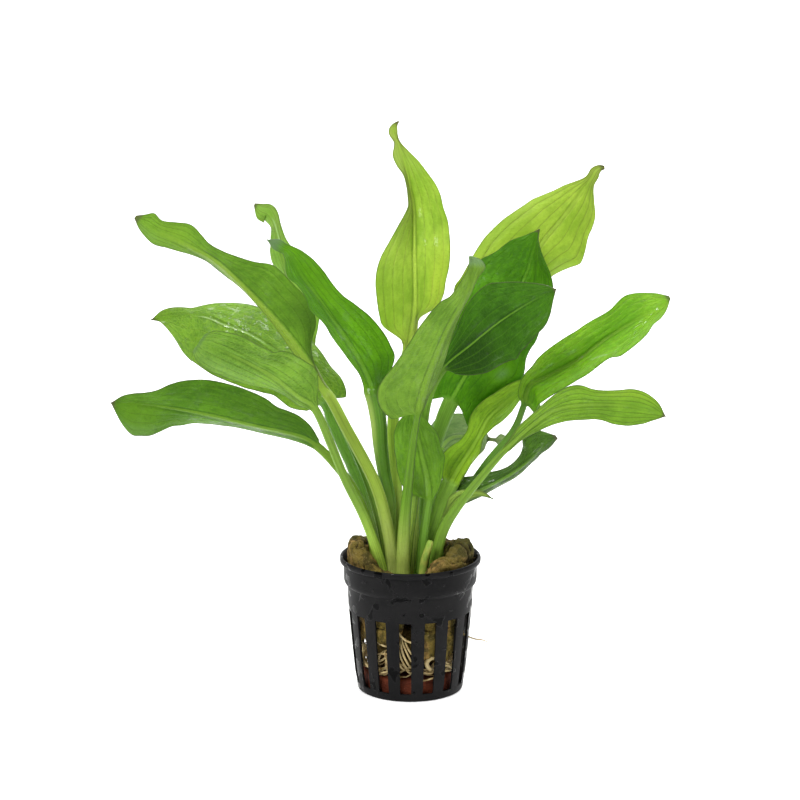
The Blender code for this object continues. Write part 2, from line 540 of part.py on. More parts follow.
plant = bpy.data.collections.new("potted_echinodorus")
cutter_group = bpy.data.collections.new("cutters")
bpy.context.scene.collection.children.link(plant)
bpy.context.scene.collection.children.link(cutter_group)
cutter_group.hide_render = True

black_plastic = material("black_plastic", (0.022, 0.022, 0.024), 0.45)
fired_clay = material("fired_clay", (0.20, 0.055, 0.03), 0.85)
mineral_wool = material("mineral_wool", (0.16, 0.115, 0.035), 0.95)
pale_root = material("pale_root", (0.55, 0.44, 0.24), 0.6)
crown_flesh = material("crown_flesh", (0.24, 0.20, 0.08), 0.6)
cut_petiole = material("cut_petiole", (0.45, 0.42, 0.14), 0.4)

make_pot(plant, cutter_group, black_plastic)
make_disc(plant, fired_clay)
make_crown(plant, crown_flesh)
make_tangle(plant, pale_root)
make_wool("rock_wool_right", WOOL_RIGHT, plant, mineral_wool)
make_wool("rock_wool_left", WOOL_LEFT, plant, mineral_wool)
for root_name, first_angle in ROOTS.items():
    make_root(root_name, first_angle, plant, pale_root)
tube("root_stray", smooth_route(STRAY_ROUTE, 8)[0], STRAY_RADIUS, plant, pale_root)
tube("petiole_stub", smooth_route(STUB_ROUTE, 8)[0], STUB_RADIUS, plant, cut_petiole)
for leaf_name, leaf_shape in LEAVES.items():
    make_leaf(leaf_name, leaf_shape, plant)
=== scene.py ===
"""Potted echinodorus: how the slotted pot, the clay disc, the roots, the wool and the leaves look.

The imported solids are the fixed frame. The sections go from the pot inwards and up: pot, clay disc,
roots, wool, crown, leaves and cut petiole. The floor, the lights and the camera follow. Lengths are
in millimetres until a piece is put into its mesh.
"""

import math

import bmesh
import bpy
import numpy as np
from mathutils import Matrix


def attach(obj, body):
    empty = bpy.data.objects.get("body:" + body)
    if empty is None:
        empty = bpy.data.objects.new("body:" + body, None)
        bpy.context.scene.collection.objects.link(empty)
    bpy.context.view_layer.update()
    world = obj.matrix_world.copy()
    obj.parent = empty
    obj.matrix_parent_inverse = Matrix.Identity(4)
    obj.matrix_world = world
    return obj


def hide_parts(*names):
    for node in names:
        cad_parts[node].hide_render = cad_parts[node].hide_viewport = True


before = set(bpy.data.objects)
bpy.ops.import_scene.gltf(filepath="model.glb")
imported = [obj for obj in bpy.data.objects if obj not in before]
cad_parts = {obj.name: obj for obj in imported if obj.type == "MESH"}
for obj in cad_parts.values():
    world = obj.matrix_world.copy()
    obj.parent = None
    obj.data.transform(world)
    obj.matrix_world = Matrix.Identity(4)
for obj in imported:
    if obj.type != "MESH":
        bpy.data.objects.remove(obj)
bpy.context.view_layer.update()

# The pot: black polypropylene, injection moulded in one shot. Fifteen upright slots let the roots
# out under a plain band, a stepped collar stiffens the mouth, and the lip is rolled.
MM = 0.001
POT_WALL = 0.9
POT_FLOOR = 1.2
FRONT = -90
SLOTS = 15
SLOT_FIRST = -5.0
SLOT_HEIGHTS = (3.0, 31.0)
SLOT_WIDTHS = (4.1, 4.5)
SLOT_STEPS = 4
RIB_STEPS = 8
FLOOR_SLOTS = 6
FLOOR_SLOT_WIDTH = 2.4
FLOOR_SLOT_STEPS = 6
FLOOR_SLOT_REACH = (7.5, 15.5)
# FRONT is the front's angle from +X in degrees, and SLOT_FIRST the first slot's from the front.
# Radius and height up the outside from the middle of the underside, and the inside's, row for row.
POT_UNDER = ((0.6, 0), (4, 0), (7.5, 0), (9.5, 0), (11.5, 0), (13.5, 0), (15.5, 0), (17.3, 0))
POT_SIDE = ((18.9, 0), (19.4, 0.25), (19.65, 0.8), (19.85, 2.4), (19.9, 3.0), (20.5, 6.3), (20.95, 10.2),
            (21.45, 15.2), (21.9, 20.2), (22.3, 24.5), (22.65, 28.5), (22.95, 31.0), (23.0, 31.7),
            (23.1, 34.5), (23.25, 37.0), (23.4, 39.7), (23.5, 40.2), (24.15, 40.8), (24.5, 41.4),
            (24.65, 42.2), (24.7, 43.2), (24.7, 45.0), (24.75, 47.4), (24.8, 48.3))
POT_CORNER_INSIDE = ((17.9, 1.2), (18.45, 1.3), (18.8, 1.7), (18.9, 2.4))
LIP = ((25.2, 48.5), (25.75, 48.6), (26.05, 48.9), (26.15, 49.4), (26.15, 50.0), (26.0, 50.5), (25.75, 50.75),
       (25.45, 50.8), (25.15, 50.65), (24.95, 50.3), (24.6, 49.6))


class Reading:
    """A value read off a surface. Sums, differences, products and quotients add Math nodes."""

    def __init__(self, finish, socket):
        self.finish = finish
        self.socket = socket

    def joined(self, operation, *values):
        return self.finish.node("ShaderNodeMath", {"operation": operation}, values)

    def __add__(self, other):
        return self.joined("ADD", self, other)

    def __radd__(self, other):
        return self.joined("ADD", other, self)

    def __sub__(self, other):
        return self.joined("SUBTRACT", self, other)

    def __rsub__(self, other):
        return self.joined("SUBTRACT", other, self)

    def __mul__(self, other):
        return self.joined("MULTIPLY", self, other)

    def __rmul__(self, other):
        return self.joined("MULTIPLY", other, self)

    def __truediv__(self, other):
        return self.joined("DIVIDE", self, other)

    def __abs__(self):
        return self.joined("ABSOLUTE", self)

    def rising(self, low, high):
        """0 below low, 1 above high, and a smooth slope between them."""
        names = {"Value": self, "From Min": low, "From Max": high, "To Min": 0.0, "To Max": 1.0}
        return self.finish.node("ShaderNodeMapRange", {"interpolation_type": "SMOOTHSTEP"}, names)

    def falling(self, low, high):
        return 1 - self.rising(low, high)


class Finish:
    """One procedural material: its nodes, its shader and what varies over it."""

    def __init__(self, name, **constants):
        self.material = bpy.data.materials.new(name)
        self.material.use_nodes = True
        self.tree = self.material.node_tree
        self.shader = self.tree.nodes["Principled BSDF"]
        for socket, value in constants.items():
            self.shader.inputs[socket.replace("_", " ")].default_value = value

    def node(self, kind, settings=None, inputs=(), output=0):
        """Adds a node with its settings, then gives its sockets their values or links."""
        made = self.tree.nodes.new(kind)
        for name, value in (settings or {}).items():
            setattr(made, name, value)
        named = inputs.items() if isinstance(inputs, dict) else enumerate(inputs)
        for key, value in named:
            self.join(value, made.inputs[key])
        return Reading(self, made.outputs[output])

    def join(self, value, socket):
        if isinstance(value, Reading):
            self.tree.links.new(value.socket, socket)
        elif socket.type == "RGBA" and len(value) == 3:
            socket.default_value = (*value, 1.0)
        else:
            socket.default_value = value

    def read(self, attribute):
        return self.node("ShaderNodeAttribute", {"attribute_name": attribute}, (), "Fac")

    def blend(self, share, start, end):
        """Colour start, going over to colour end where share is 1."""
        settings = {"data_type": "RGBA", "blend_type": "MIX", "clamp_factor": True}
        return self.node("ShaderNodeMix", settings, {0: share, 6: start, 7: end}, 2)

    def place(self, size):
        """Object coordinates, scaled so that a pattern of one unit is the given size in mm."""
        where = self.node("ShaderNodeTexCoord", output="Object")
        grow = (1 / (size * MM),) * 3
        return self.node("ShaderNodeVectorMath", {"operation": "MULTIPLY"}, (where, grow))

    def spot(self, *parts):
        return self.node("ShaderNodeCombineXYZ", None, parts)

    def noise(self, where, detail=3.0, roughness=0.55, distortion=0.0):
        values = {"Vector": where, "Scale": 1.0, "Detail": detail, "Roughness": roughness,
                  "Distortion": distortion}
        return self.node("ShaderNodeTexNoise", None, values)

    def mottle(self, size, *finer):
        """Noise over the object with the given grain in mm."""
        return self.noise(self.place(size), *finer)

    def layered(self, colour, *layers):
        """The colour under layers, each a share and the colour that the share goes over to."""
        for share, over in layers:
            colour = self.blend(share, colour, over)
        return colour

    def bumped(self, height, strength, distance_mm):
        values = {"Height": height, "Strength": strength, "Distance": distance_mm * MM}
        return self.node("ShaderNodeBump", None, values)

    def wear(self, **varying):
        for socket, value in varying.items():
            self.join(value, self.shader.inputs[socket.replace("_", " ")])
        return self.material


def grid_faces(rows, columns, around=True):
    """The quads of a grid numbered row by row. With around, the last column joins the first."""
    r = np.arange(rows - 1)[:, None]
    c = np.arange(columns if around else columns - 1)[None, :]
    d = (c + 1) % columns
    quads = [r * columns + c, r * columns + d, (r + 1) * columns + d, (r + 1) * columns + c]
    return np.stack(quads, axis=-1)


def grow_piece(name, points, faces, material, stands_for=(), readings=None):
    """Puts points in mm and lists of faces into a closed mesh that rides on the part's one body."""
    mesh = bpy.data.meshes.new(name)
    mesh.from_pydata((points.reshape(-1, 3) * MM).tolist(), [], faces)
    for reading, values in (readings or {}).items():
        attribute = mesh.attributes.new(reading, "FLOAT", "POINT")
        attribute.data.foreach_set("value", np.ascontiguousarray(values, np.float32).ravel())
    bm = bmesh.new()
    bm.from_mesh(mesh)
    bmesh.ops.recalc_face_normals(bm, faces=bm.faces)
    bm.to_mesh(mesh)
    bm.free()
    mesh.shade_smooth()
    mesh.materials.append(material)
    piece = bpy.data.objects.new(name, mesh)
    bpy.context.scene.collection.objects.link(piece)
    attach(piece, "root")
    if stands_for:
        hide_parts(*stands_for)
    return piece


def round_angles(radius, width, count, first, open_steps, shut_steps):
    """Angles in degrees of the columns round one ring: each of count openings, width wide at this
    radius, takes open_steps even columns, and the solid stretch after it takes shut_steps."""
    half = np.degrees(np.arcsin(width / 2 / radius))
    pitch = 360 / count
    opening = np.linspace(-half, half, open_steps, endpoint=False)
    solid = np.linspace(half, pitch - half, shut_steps, endpoint=False)
    middles = first + pitch * np.arange(count)
    return (middles[:, None] + np.concatenate([opening, solid])).ravel()


def pot_surface():
    """Rings of one column count run over the underside, up the outside, over the lip and back down
    the inside. Cells inside a slot are left out, and the rims of the hole are walled from the
    outer ring to the inner one of the same number."""
    under, side = np.array(POT_UNDER), np.array(POT_SIDE)
    corner = np.array(POT_CORNER_INSIDE)
    outer = np.vstack([under, side])
    inner = np.vstack([under + (0, POT_FLOOR), corner, side[len(corner):] - (POT_WALL, 0)])
    profile = np.vstack([outer, np.array(LIP), inner[::-1]])
    count = len(outer)
    columns = SLOTS * (SLOT_STEPS + RIB_STEPS)

    def facing(ring):
        return len(profile) - 1 - ring

    low, high = SLOT_HEIGHTS
    share = columns // FLOOR_SLOTS
    shift = int(round((-SLOT_FIRST - FRONT) / 360 * columns)) - FLOOR_SLOT_STEPS // 2
    angles = np.empty((len(profile), columns))
    for ring, (radius, z) in enumerate(profile):
        number = ring if ring < count else facing(ring)
        if number < len(under):
            width = min(FLOOR_SLOT_WIDTH, radius)
            turned = round_angles(radius, width, FLOOR_SLOTS, 0, FLOOR_SLOT_STEPS, share - FLOOR_SLOT_STEPS)
            angles[ring] = np.roll(turned - 360 * (np.arange(columns) >= columns - shift), shift)
        else:
            width = np.interp(z, SLOT_HEIGHTS, SLOT_WIDTHS)
            angles[ring] = round_angles(radius, width, SLOTS, SLOT_FIRST + FRONT, SLOT_STEPS, RIB_STEPS)
    a = np.radians(angles)
    radius, z = profile[:, :1], profile[:, 1:]
    points = np.stack([radius * np.cos(a), radius * np.sin(a), z + 0 * a], axis=-1)

    cells = grid_faces(len(profile), columns)
    column = np.arange(columns)
    in_slot = column % (SLOT_STEPS + RIB_STEPS) < SLOT_STEPS
    in_floor_slot = (column - shift) % share < FLOOR_SLOT_STEPS
    bottom = len(under) + int(np.argmin(abs(side[:, 1] - low)))
    top = len(under) + int(np.argmin(abs(side[:, 1] - high)))
    near, far = (int(np.argmin(abs(under[:, 0] - reach))) for reach in FLOOR_SLOT_REACH)
    kept = np.ones(cells.shape[:2], bool)
    walls = []
    for first, last, is_open in ((bottom, top, in_slot), (near, far, in_floor_slot)):
        kept[first:last, is_open] = False
        kept[facing(last) : facing(first), is_open] = False
        before = np.roll(is_open, 1)
        rows = np.arange(first, last)[:, None]
        back = facing(rows)
        for edge in np.flatnonzero(is_open & ~before), np.flatnonzero(~is_open & before):
            quad = [rows * columns + edge, (rows + 1) * columns + edge, (back - 1) * columns + edge,
                    back * columns + edge]
            walls.append(np.stack(quad, axis=-1).reshape(-1, 4))
        across = column[is_open]
        beside = (across + 1) % columns
        for row in (first, last):
            behind = facing(row)
            quad = [row * columns + across, row * columns + beside, behind * columns + beside,
                    behind * columns + across]
            walls.append(np.stack(quad, axis=-1))
    faces = cells[kept].tolist() + np.vstack(walls).tolist()
    faces += [column.tolist(), (facing(0) * columns + column).tolist()]
    return points, faces


def wet_black_plastic():
    """Satin black with faint flow marks and blotches, some of them wet: darker and glossier."""
    finish = Finish("wet_black_plastic", Specular_IOR_Level=0.06)
    grain, fine, patch = finish.mottle(9.0, 4.0), finish.mottle(0.35, 2.0), finish.mottle(4.2, 1.5, 0.4, 0.2)
    wet = patch.rising(0.60, 0.625)
    colour = finish.layered(
        (0.0072, 0.0072, 0.0075),
        (grain.rising(0.3, 0.7), (0.0115, 0.0112, 0.0115)),
        (wet * 0.95, (0.0012, 0.0012, 0.0014)),
    )
    rough = 0.42 + grain * 0.14 - wet * 0.30
    height = wet * 0.8 + fine * 0.05 + grain * 0.3
    return finish.wear(Base_Color=colour, Roughness=rough, Normal=finish.bumped(height, 0.35, 0.4),
                       Coat_Weight=wet * patch.falling(0.635, 0.665) * 0.16)


pot_points, pot_faces = pot_surface()
pot = grow_piece("slotted_pot", pot_points, pot_faces, wet_black_plastic(), ["pot"])
pot.data.set_sharp_from_angle(angle=math.radians(35))

# The clay disc: a low fired-clay weight, pressed in a mould and left rough. It lies loose on the
# pot's floor and keeps the pot from floating.
DISC_RADIUS = 17.4
DISC_HEIGHTS = (1.5, 7.7)
DISC_EDGE = 0.9


def ripple(points, size, seed, waves=9):
    """Smooth lumps between about -1 and 1: sine waves of random direction, near the given size and
    half of it, averaged."""
    rng = np.random.default_rng(seed)
    total = np.zeros(points.shape[:-1])
    for octave in range(2):
        ways = rng.normal(size=(waves, 3))
        ways *= 2 * np.pi * (2**octave) / size / np.linalg.norm(ways, axis=1, keepdims=True)
        turn = rng.uniform(0, 2 * np.pi, waves)
        total += np.sin(points @ ways.T + turn).sum(-1) / math.sqrt(waves) * 0.6**octave
    return total * 0.8


def closed_faces(rows, columns):
    """The quads of a tube that is numbered row by row, and one face over each of its ends."""
    ends = [list(range(columns)), list(range((rows - 1) * columns, rows * columns))]
    return grid_faces(rows, columns).reshape(-1, 4).tolist() + ends


def turned_surface(profile, columns, lumps, size, seed):
    """A profile of (radius, height) turned about the pot's axis, then pushed out by ripples."""
    p = np.array(profile, float)
    a = np.linspace(0, 2 * np.pi, columns, endpoint=False)
    points = np.stack([p[:, :1] * np.cos(a), p[:, :1] * np.sin(a), p[:, 1:] + 0 * a], axis=-1)
    middle = np.array([0, 0, p[:, 1].mean()])
    outward = points - middle
    outward /= np.linalg.norm(outward, axis=-1, keepdims=True)
    points = points + outward * (ripple(points, size, seed) * lumps)[..., None]
    return points, closed_faces(len(p), columns)


def fired_clay():
    """Brick red, blotched darker where it is wet, with open pores and pale grog."""
    finish = Finish("fired_clay", Specular_IOR_Level=0.1)
    blotch, pores = finish.mottle(6.0, 4.0), finish.mottle(0.55)
    colour = finish.layered(
        (0.080, 0.017, 0.008),
        (blotch.rising(0.35, 0.68), (0.165, 0.040, 0.018)),
        (pores.rising(0.6, 0.75) * 0.4, (0.32, 0.13, 0.075)),
        (pores.falling(0.28, 0.4) * 0.7, (0.025, 0.007, 0.004)),
    )
    rough = 0.55 + blotch * 0.35
    return finish.wear(Base_Color=colour, Roughness=rough, Normal=finish.bumped(pores, 0.7, 0.4))


disc_low, disc_high = DISC_HEIGHTS
rounding = np.linspace(0, np.pi / 2, 7)
disc_rim = DISC_RADIUS - DISC_EDGE * (1 - np.sin(rounding))
disc_fall = DISC_EDGE * (1 - np.cos(rounding))
flat = np.linspace(0.5, DISC_RADIUS - DISC_EDGE, 22, endpoint=False)
disc_profile = [(r, disc_low) for r in flat]
disc_profile += list(zip(disc_rim, disc_low + disc_fall))
disc_profile += [(DISC_RADIUS, z) for z in np.linspace(disc_low + DISC_EDGE, disc_high - DISC_EDGE, 12)[1:-1]]
disc_profile += list(zip(disc_rim[::-1], disc_high - disc_fall[::-1]))
disc_profile += [(r, disc_high) for r in flat[::-1]]
disc_points, disc_faces = turned_surface(disc_profile, columns=180, lumps=0.1, size=3.5, seed=3)
grow_piece("clay_weight", disc_points, disc_faces, fired_clay(), ["clay_disc"])

# The roots: cream, some as thick as string, grown down out of the crown. They mat together with
# wool in the middle of the pot, wind round behind the slots, and one has found its way out.
HEART_PROFILE = ((0.6, 8.3), (5, 8.3), (9.5, 8.9), (12.6, 10.2), (13.8, 12.5), (14.4, 15), (14.6, 17.5),
                 (14.4, 20.5), (12.8, 23.0), (8.4, 24.6), (4.6, 25.3), (0.6, 25.4))
STRANDS = 64
STRAND_POINTS = 44
ROUTE_SAMPLES = 60
# Each root that shows through a slot: its half thickness, its distance from the pot's axis, and its
# points as angle round the pot from the front and height.
SHOWN_ROOTS = (
    (0.42, 19.5, ((-14.6, 27.4), (-12.6, 26.4), (-8.2, 24.6), (-2.0, 23.3), (4.7, 22.8), (9.0, 23.2))),
    (0.36, 19.0, ((-10.5, 24.0), (-8.5, 22.4), (-4.6, 19.4), (0.4, 15.9), (5.5, 13.2))),
    (0.42, 18.9, ((-12.0, 23.0), (-10.5, 21.4), (-7.9, 18.0), (-3.4, 14.9), (1.1, 11.9))),
    (0.34, 18.8, ((-14.0, 21.5), (-12.7, 19.2), (-9.9, 16.1), (-4.7, 13.1), (-0.2, 10.9))),
    (0.36, 18.7, ((-6.7, 23.4), (-4.7, 21.9), (-0.8, 19.3), (5.0, 16.6))),
    (0.34, 18.5, ((-16.4, 18.4), (-15.4, 16.4), (-11.3, 13.4), (-6.1, 11.3))),
    (0.95, 18.3, ((34.5, 17.0), (30.5, 16.4), (22.5, 15.9), (19.0, 14.3), (22.5, 12.2), (31.3, 10.2))),
    (0.30, 19.1, ((12.5, 12.5), (16.4, 11.0), (22.4, 10.5), (30.2, 10.9))),
    (0.34, 18.8, ((10.1, 7.9), (17.4, 8.0), (24.2, 8.4), (32.3, 8.5))),
    (0.42, 18.9, ((-47.0, 23.4), (-42.8, 22.4), (-37.8, 21.4), (-33.1, 20.8), (-27.2, 19.8))),
    (0.42, 18.8, ((-45.9, 16.1), (-38.1, 17.2), (-30.3, 17.6), (-23.1, 17.4))),
    (0.36, 18.7, ((-31.2, 18.6), (-30.2, 17.6), (-28.0, 15.1), (-26.4, 12.1))),
    (0.34, 18.6, ((-44.7, 9.1), (-35.4, 10.0), (-25.6, 10.8))),
    (0.30, 18.7, ((-36.0, 17.9), (-37.0, 16.5), (-39.7, 13.5), (-41.4, 10.1))),
    (0.42, 18.9, ((-84.1, 17.7), (-76.5, 15.6), (-69.3, 13.2), (-59.5, 11.2), (-50.0, 9.6))),
    (0.34, 18.8, ((-84.0, 12.3), (-71.4, 11.2), (-62.3, 9.6))),
    (0.34, 18.8, ((-66.0, 23.6), (-69.9, 21.8), (-68.1, 19.1), (-70.8, 15.9))),
    (0.34, 19.0, ((38.1, 12.1), (45.9, 12.2), (54.0, 11.1), (65.8, 11.3))),
    (0.34, 18.9, ((39.2, 9.9), (46.2, 10.2), (58.0, 8.9))),
    (0.28, 18.9, ((38.0, 14.6), (40.8, 14.1), (50.1, 12.5), (60.5, 13.6))),
    (0.34, 19.4, ((84.3, 15.1), (84.5, 21.0), (80.6, 25.5), (84.7, 28.6))),
    (0.30, 19.2, ((72.0, 27.0), (77.0, 22.0), (73.0, 17.0), (79.0, 11.0))),
)
STRAY_ROUTE = ((18.0, 0.9, 20.6), (20, 0.5, 19.7), (23, 0, 18.9), (26, -0.6, 18.0), (28.6, -1.4, 17.4))


def smooth_route(points, samples):
    """A Catmull-Rom curve through the points, its length at each sample, and its length at each point."""
    p = np.array(points, float)
    padded = np.vstack([2 * p[0] - p[1], p, 2 * p[-1] - p[-2]])
    spans = len(p) - 1
    u = np.linspace(0, spans, samples)
    i = np.minimum(u.astype(int), spans - 1)
    f = (u - i)[:, None]
    a, b, c, d = (padded[i + k] for k in range(4))
    curve = 0.5 * (2 * b + (c - a) * f + (2 * a - 5 * b + 4 * c - d) * f**2 + (3 * b - a - 3 * c + d) * f**3)
    length = np.concatenate([[0], np.cumsum(np.linalg.norm(np.diff(curve, axis=0), axis=1))])
    return curve, length, np.interp(np.arange(len(p)), u, length)


def unit(v):
    return v / np.linalg.norm(v, axis=-1, keepdims=True)


def about_pot(radius, angle, z):
    """Points at a radius and height. The angle runs round the pot from the front to the right."""
    return np.stack([radius * np.sin(angle), -radius * np.cos(angle), z], axis=-1)


def finer(profile, rows):
    """The profile read at evenly spaced places between its own points."""
    own = np.arange(len(profile))
    return np.column_stack([np.interp(np.linspace(0, own[-1], rows), own, line) for line in zip(*profile)])


def tubes(routes, radii, sides):
    """A round skin along each of many routes, (strand, point, 3), with a radius at every point. Each
    ring lies square to its route, and both ends are shut."""
    tangent = unit(np.gradient(routes, axis=1))
    across = unit(np.cross(tangent, np.array([0.31, 0.23, 0.92])))
    other = np.cross(tangent, across)
    a = np.linspace(0, 2 * np.pi, sides, endpoint=False)
    ring = across[..., None, :] * np.cos(a)[:, None] + other[..., None, :] * np.sin(a)[:, None]
    points = routes[..., None, :] + ring * radii[..., None, None]
    strands, rows = routes.shape[:2]
    start = (np.arange(strands) * rows * sides)[:, None, None, None]
    quads = (grid_faces(rows, sides)[None] + start).reshape(-1, 4).tolist()
    column = np.arange(sides)
    heads = (start.reshape(-1, 1) + column[::-1]).tolist()
    tails = (start.reshape(-1, 1) + (rows - 1) * sides + column).tolist()
    return points, quads + heads + tails


def matted_heart():
    """Brown and olive wool drawn out in fibres that run down the mass, with nearly black streaks
    between the fibres as painted shade for its hollows.
    """
    finish = Finish("matted_wool_and_roots", Specular_IOR_Level=0.08)
    drawn = finish.node("ShaderNodeVectorMath", {"operation": "MULTIPLY"},
                        (finish.place(1.0), (1.5, 1.5, 0.28)))
    fibre, patch = finish.noise(drawn, 5.0, 0.65, 1.2), finish.mottle(7.0)
    colour = finish.layered(
        (0.036, 0.017, 0.005),
        (patch.rising(0.38, 0.62), (0.125, 0.088, 0.022)),
        (fibre.rising(0.52, 0.72) * 0.6, (0.26, 0.19, 0.08)),
        # Painted shade: nearly black streaks between the fibres stand for the mat's hollows.
        (fibre.falling(0.28, 0.42) * 0.8, (0.012, 0.006, 0.002)),
    )
    return finish.wear(Base_Color=colour, Roughness=0.75 + fibre * 0.2, Normal=finish.bumped(fibre, 0.9, 0.8))


def root_skin():
    """Cream with brownish stretches and fine rings, damp enough to glint."""
    finish = Finish("root_skin", Specular_IOR_Level=0.3)
    patch, fine = finish.mottle(3.2), finish.mottle(0.3, 2.0)
    colour = finish.layered(
        (0.60, 0.47, 0.22),
        (patch.rising(0.42, 0.7), (0.28, 0.17, 0.055)),
        (fine.rising(0.5, 0.8) * 0.4, (0.78, 0.68, 0.44)),
    )
    return finish.wear(Base_Color=colour, Roughness=0.28 + patch * 0.3, Normal=finish.bumped(fine, 0.4, 0.15))


def strand_routes():
    """Each strand swings round the pot behind the slots: its angle runs on with its length while its
    height and its distance from the axis wander on slow sines, and its ends sink into the mat."""
    rng = np.random.default_rng(11)
    t = np.linspace(0, 1, STRAND_POINTS)[None, :]
    start, sweep = rng.uniform(0, 360, (STRANDS, 1)), rng.uniform(-95, 95, (STRANDS, 1))
    level = 8.8 + 9.0 * rng.beta(1.1, 1.9, (STRANDS, 1))
    rise = rng.uniform(-6, 6, (STRANDS, 1))
    wave, turn = rng.uniform(1.0, 2.6, (STRANDS, 1)), rng.uniform(0, 6.3, (STRANDS, 1))
    depth = 15.2 + 2.6 * rng.uniform(0, 1, (STRANDS, 1))
    angle = np.radians(start + sweep * t)
    z = level + rise * (t - 0.5) + 1.3 * np.sin(wave * t * 6.3 + turn)
    z = np.clip(z, 8.4, 23.5)
    sink = 4.0 * (1 - np.sin(np.pi * t) ** 0.35)
    radius = depth + 0.7 * np.sin(wave * 4 * t + turn * 2) - sink
    radius = np.minimum(radius, np.interp(z, SLOT_HEIGHTS, (18.1, 20.9)) - 0.1)
    routes = np.stack([radius * np.cos(angle), radius * np.sin(angle), z], axis=-1)
    thick = rng.uniform(0.24, 0.55, (STRANDS, 1)) * (0.55 + 0.45 * np.sin(np.pi * t) ** 0.5)
    return routes, thick


def shown_routes():
    """Smooth routes through the listed points, bent in at both ends, where each root dives back."""
    lines, thick = [], []
    t = np.linspace(0, 1, STRAND_POINTS)
    for half, radius, points in SHOWN_ROOTS:
        curve = smooth_route([(angle, z, 0) for angle, z in points], STRAND_POINTS)[0]
        dive = 3.2 * np.abs(2 * t - 1) ** 5
        lines.append(about_pot(radius - dive, np.radians(curve[:, 0]), curve[:, 1]))
        thick.append(half * (0.72 + 0.28 * np.sin(np.pi * t)))
    return np.array(lines), np.array(thick)


heart_points, heart_faces = turned_surface(
    finer(HEART_PROFILE, 66), columns=150, lumps=0.75, size=6.5, seed=5)
grow_piece("root_mat", heart_points, heart_faces, matted_heart(), ["root_tangle"])
cream = root_skin()
both = [np.concatenate(pair) for pair in zip(strand_routes(), shown_routes())]
strand_points, strand_faces = tubes(*both, sides=8)
grow_piece("winding_roots", strand_points, strand_faces, cream,
           ["root_bunch_left", "root_bunch_right", "root_bunch_back"])
stray_line = smooth_route(STRAY_ROUTE, ROUTE_SAMPLES)[0]
stray_line = stray_line + 0.25 * np.sin(np.linspace(0, 9, ROUTE_SAMPLES))[:, None] * np.array([0, 1, 1])
stray_thick = np.interp(np.linspace(0, 1, ROUTE_SAMPLES), (0, 0.7, 1), (0.34, 0.27, 0.14))
stray_points, stray_faces = tubes(stray_line[None], stray_thick[None], sides=10)
grow_piece("stray_root", stray_points, stray_faces, cream, ["root_stray"])

# The rock wool: a plug of spun mineral fibre, torn open down one side to take the crown and
# stuffed back into the pot. It is stained khaki and rust, and rags of it trail behind the slots.
WOOL_INSIDE = 14.9
WOOL_FOOT = 23.3
WOOL_HALVES = {"rock_wool_right": (12.0, 177.0), "rock_wool_left": (-177.0, -6.0)}
# Angle round the pot from the front, + to the right, and the height that the wool reaches there.
WOOL_TOP = ((-180, 53), (-130, 54), (-100, 56.5), (-82, 57.6), (-66, 57.2), (-48, 54.5), (-30, 50.0),
            (-10, 47.5), (12, 48.5), (26, 52.5), (38, 54.5), (50, 54.0), (62, 56.4), (84, 57.2),
            (104, 55.6), (120, 53), (180, 53))
# Darker olive stretches of the wool: angle round the pot, spread, depth.
DARKER_STRETCHES = ((88, 34, 1), (-118, 30, 0.6))
WOOL_STATIONS = 190
WOOL_AROUND = 96
TUFTS = 900
TUFT_FROM = 46
RAG_TOP = 27.0
RAG_STATIONS = 60
RAG_AROUND = 64
# Rags behind the slots: first and last angle, and how low each hangs at equal steps between them.
RAGS = (
    ((-100.0, -62.0), (18.5, 17.0, 20.5, 18.0, 21.5)),
    ((-60.0, -14.0), (20.5, 18.6, 21.5, 21.0, 22.5, 23.0)),
    ((11.0, 31.0), (16.5, 15.2, 15.6, 17.5)),
    ((33.0, 58.0), (15.5, 14.2, 14.8, 16.5)),
    ((66.0, 78.0), (19.0, 16.5, 20.0)),
)


def bell(distance, width):
    """A bell curve: exp of minus the square of distance over width, so 1 at 0 and 0.37 at width."""
    return np.exp(-((distance / width) ** 2))


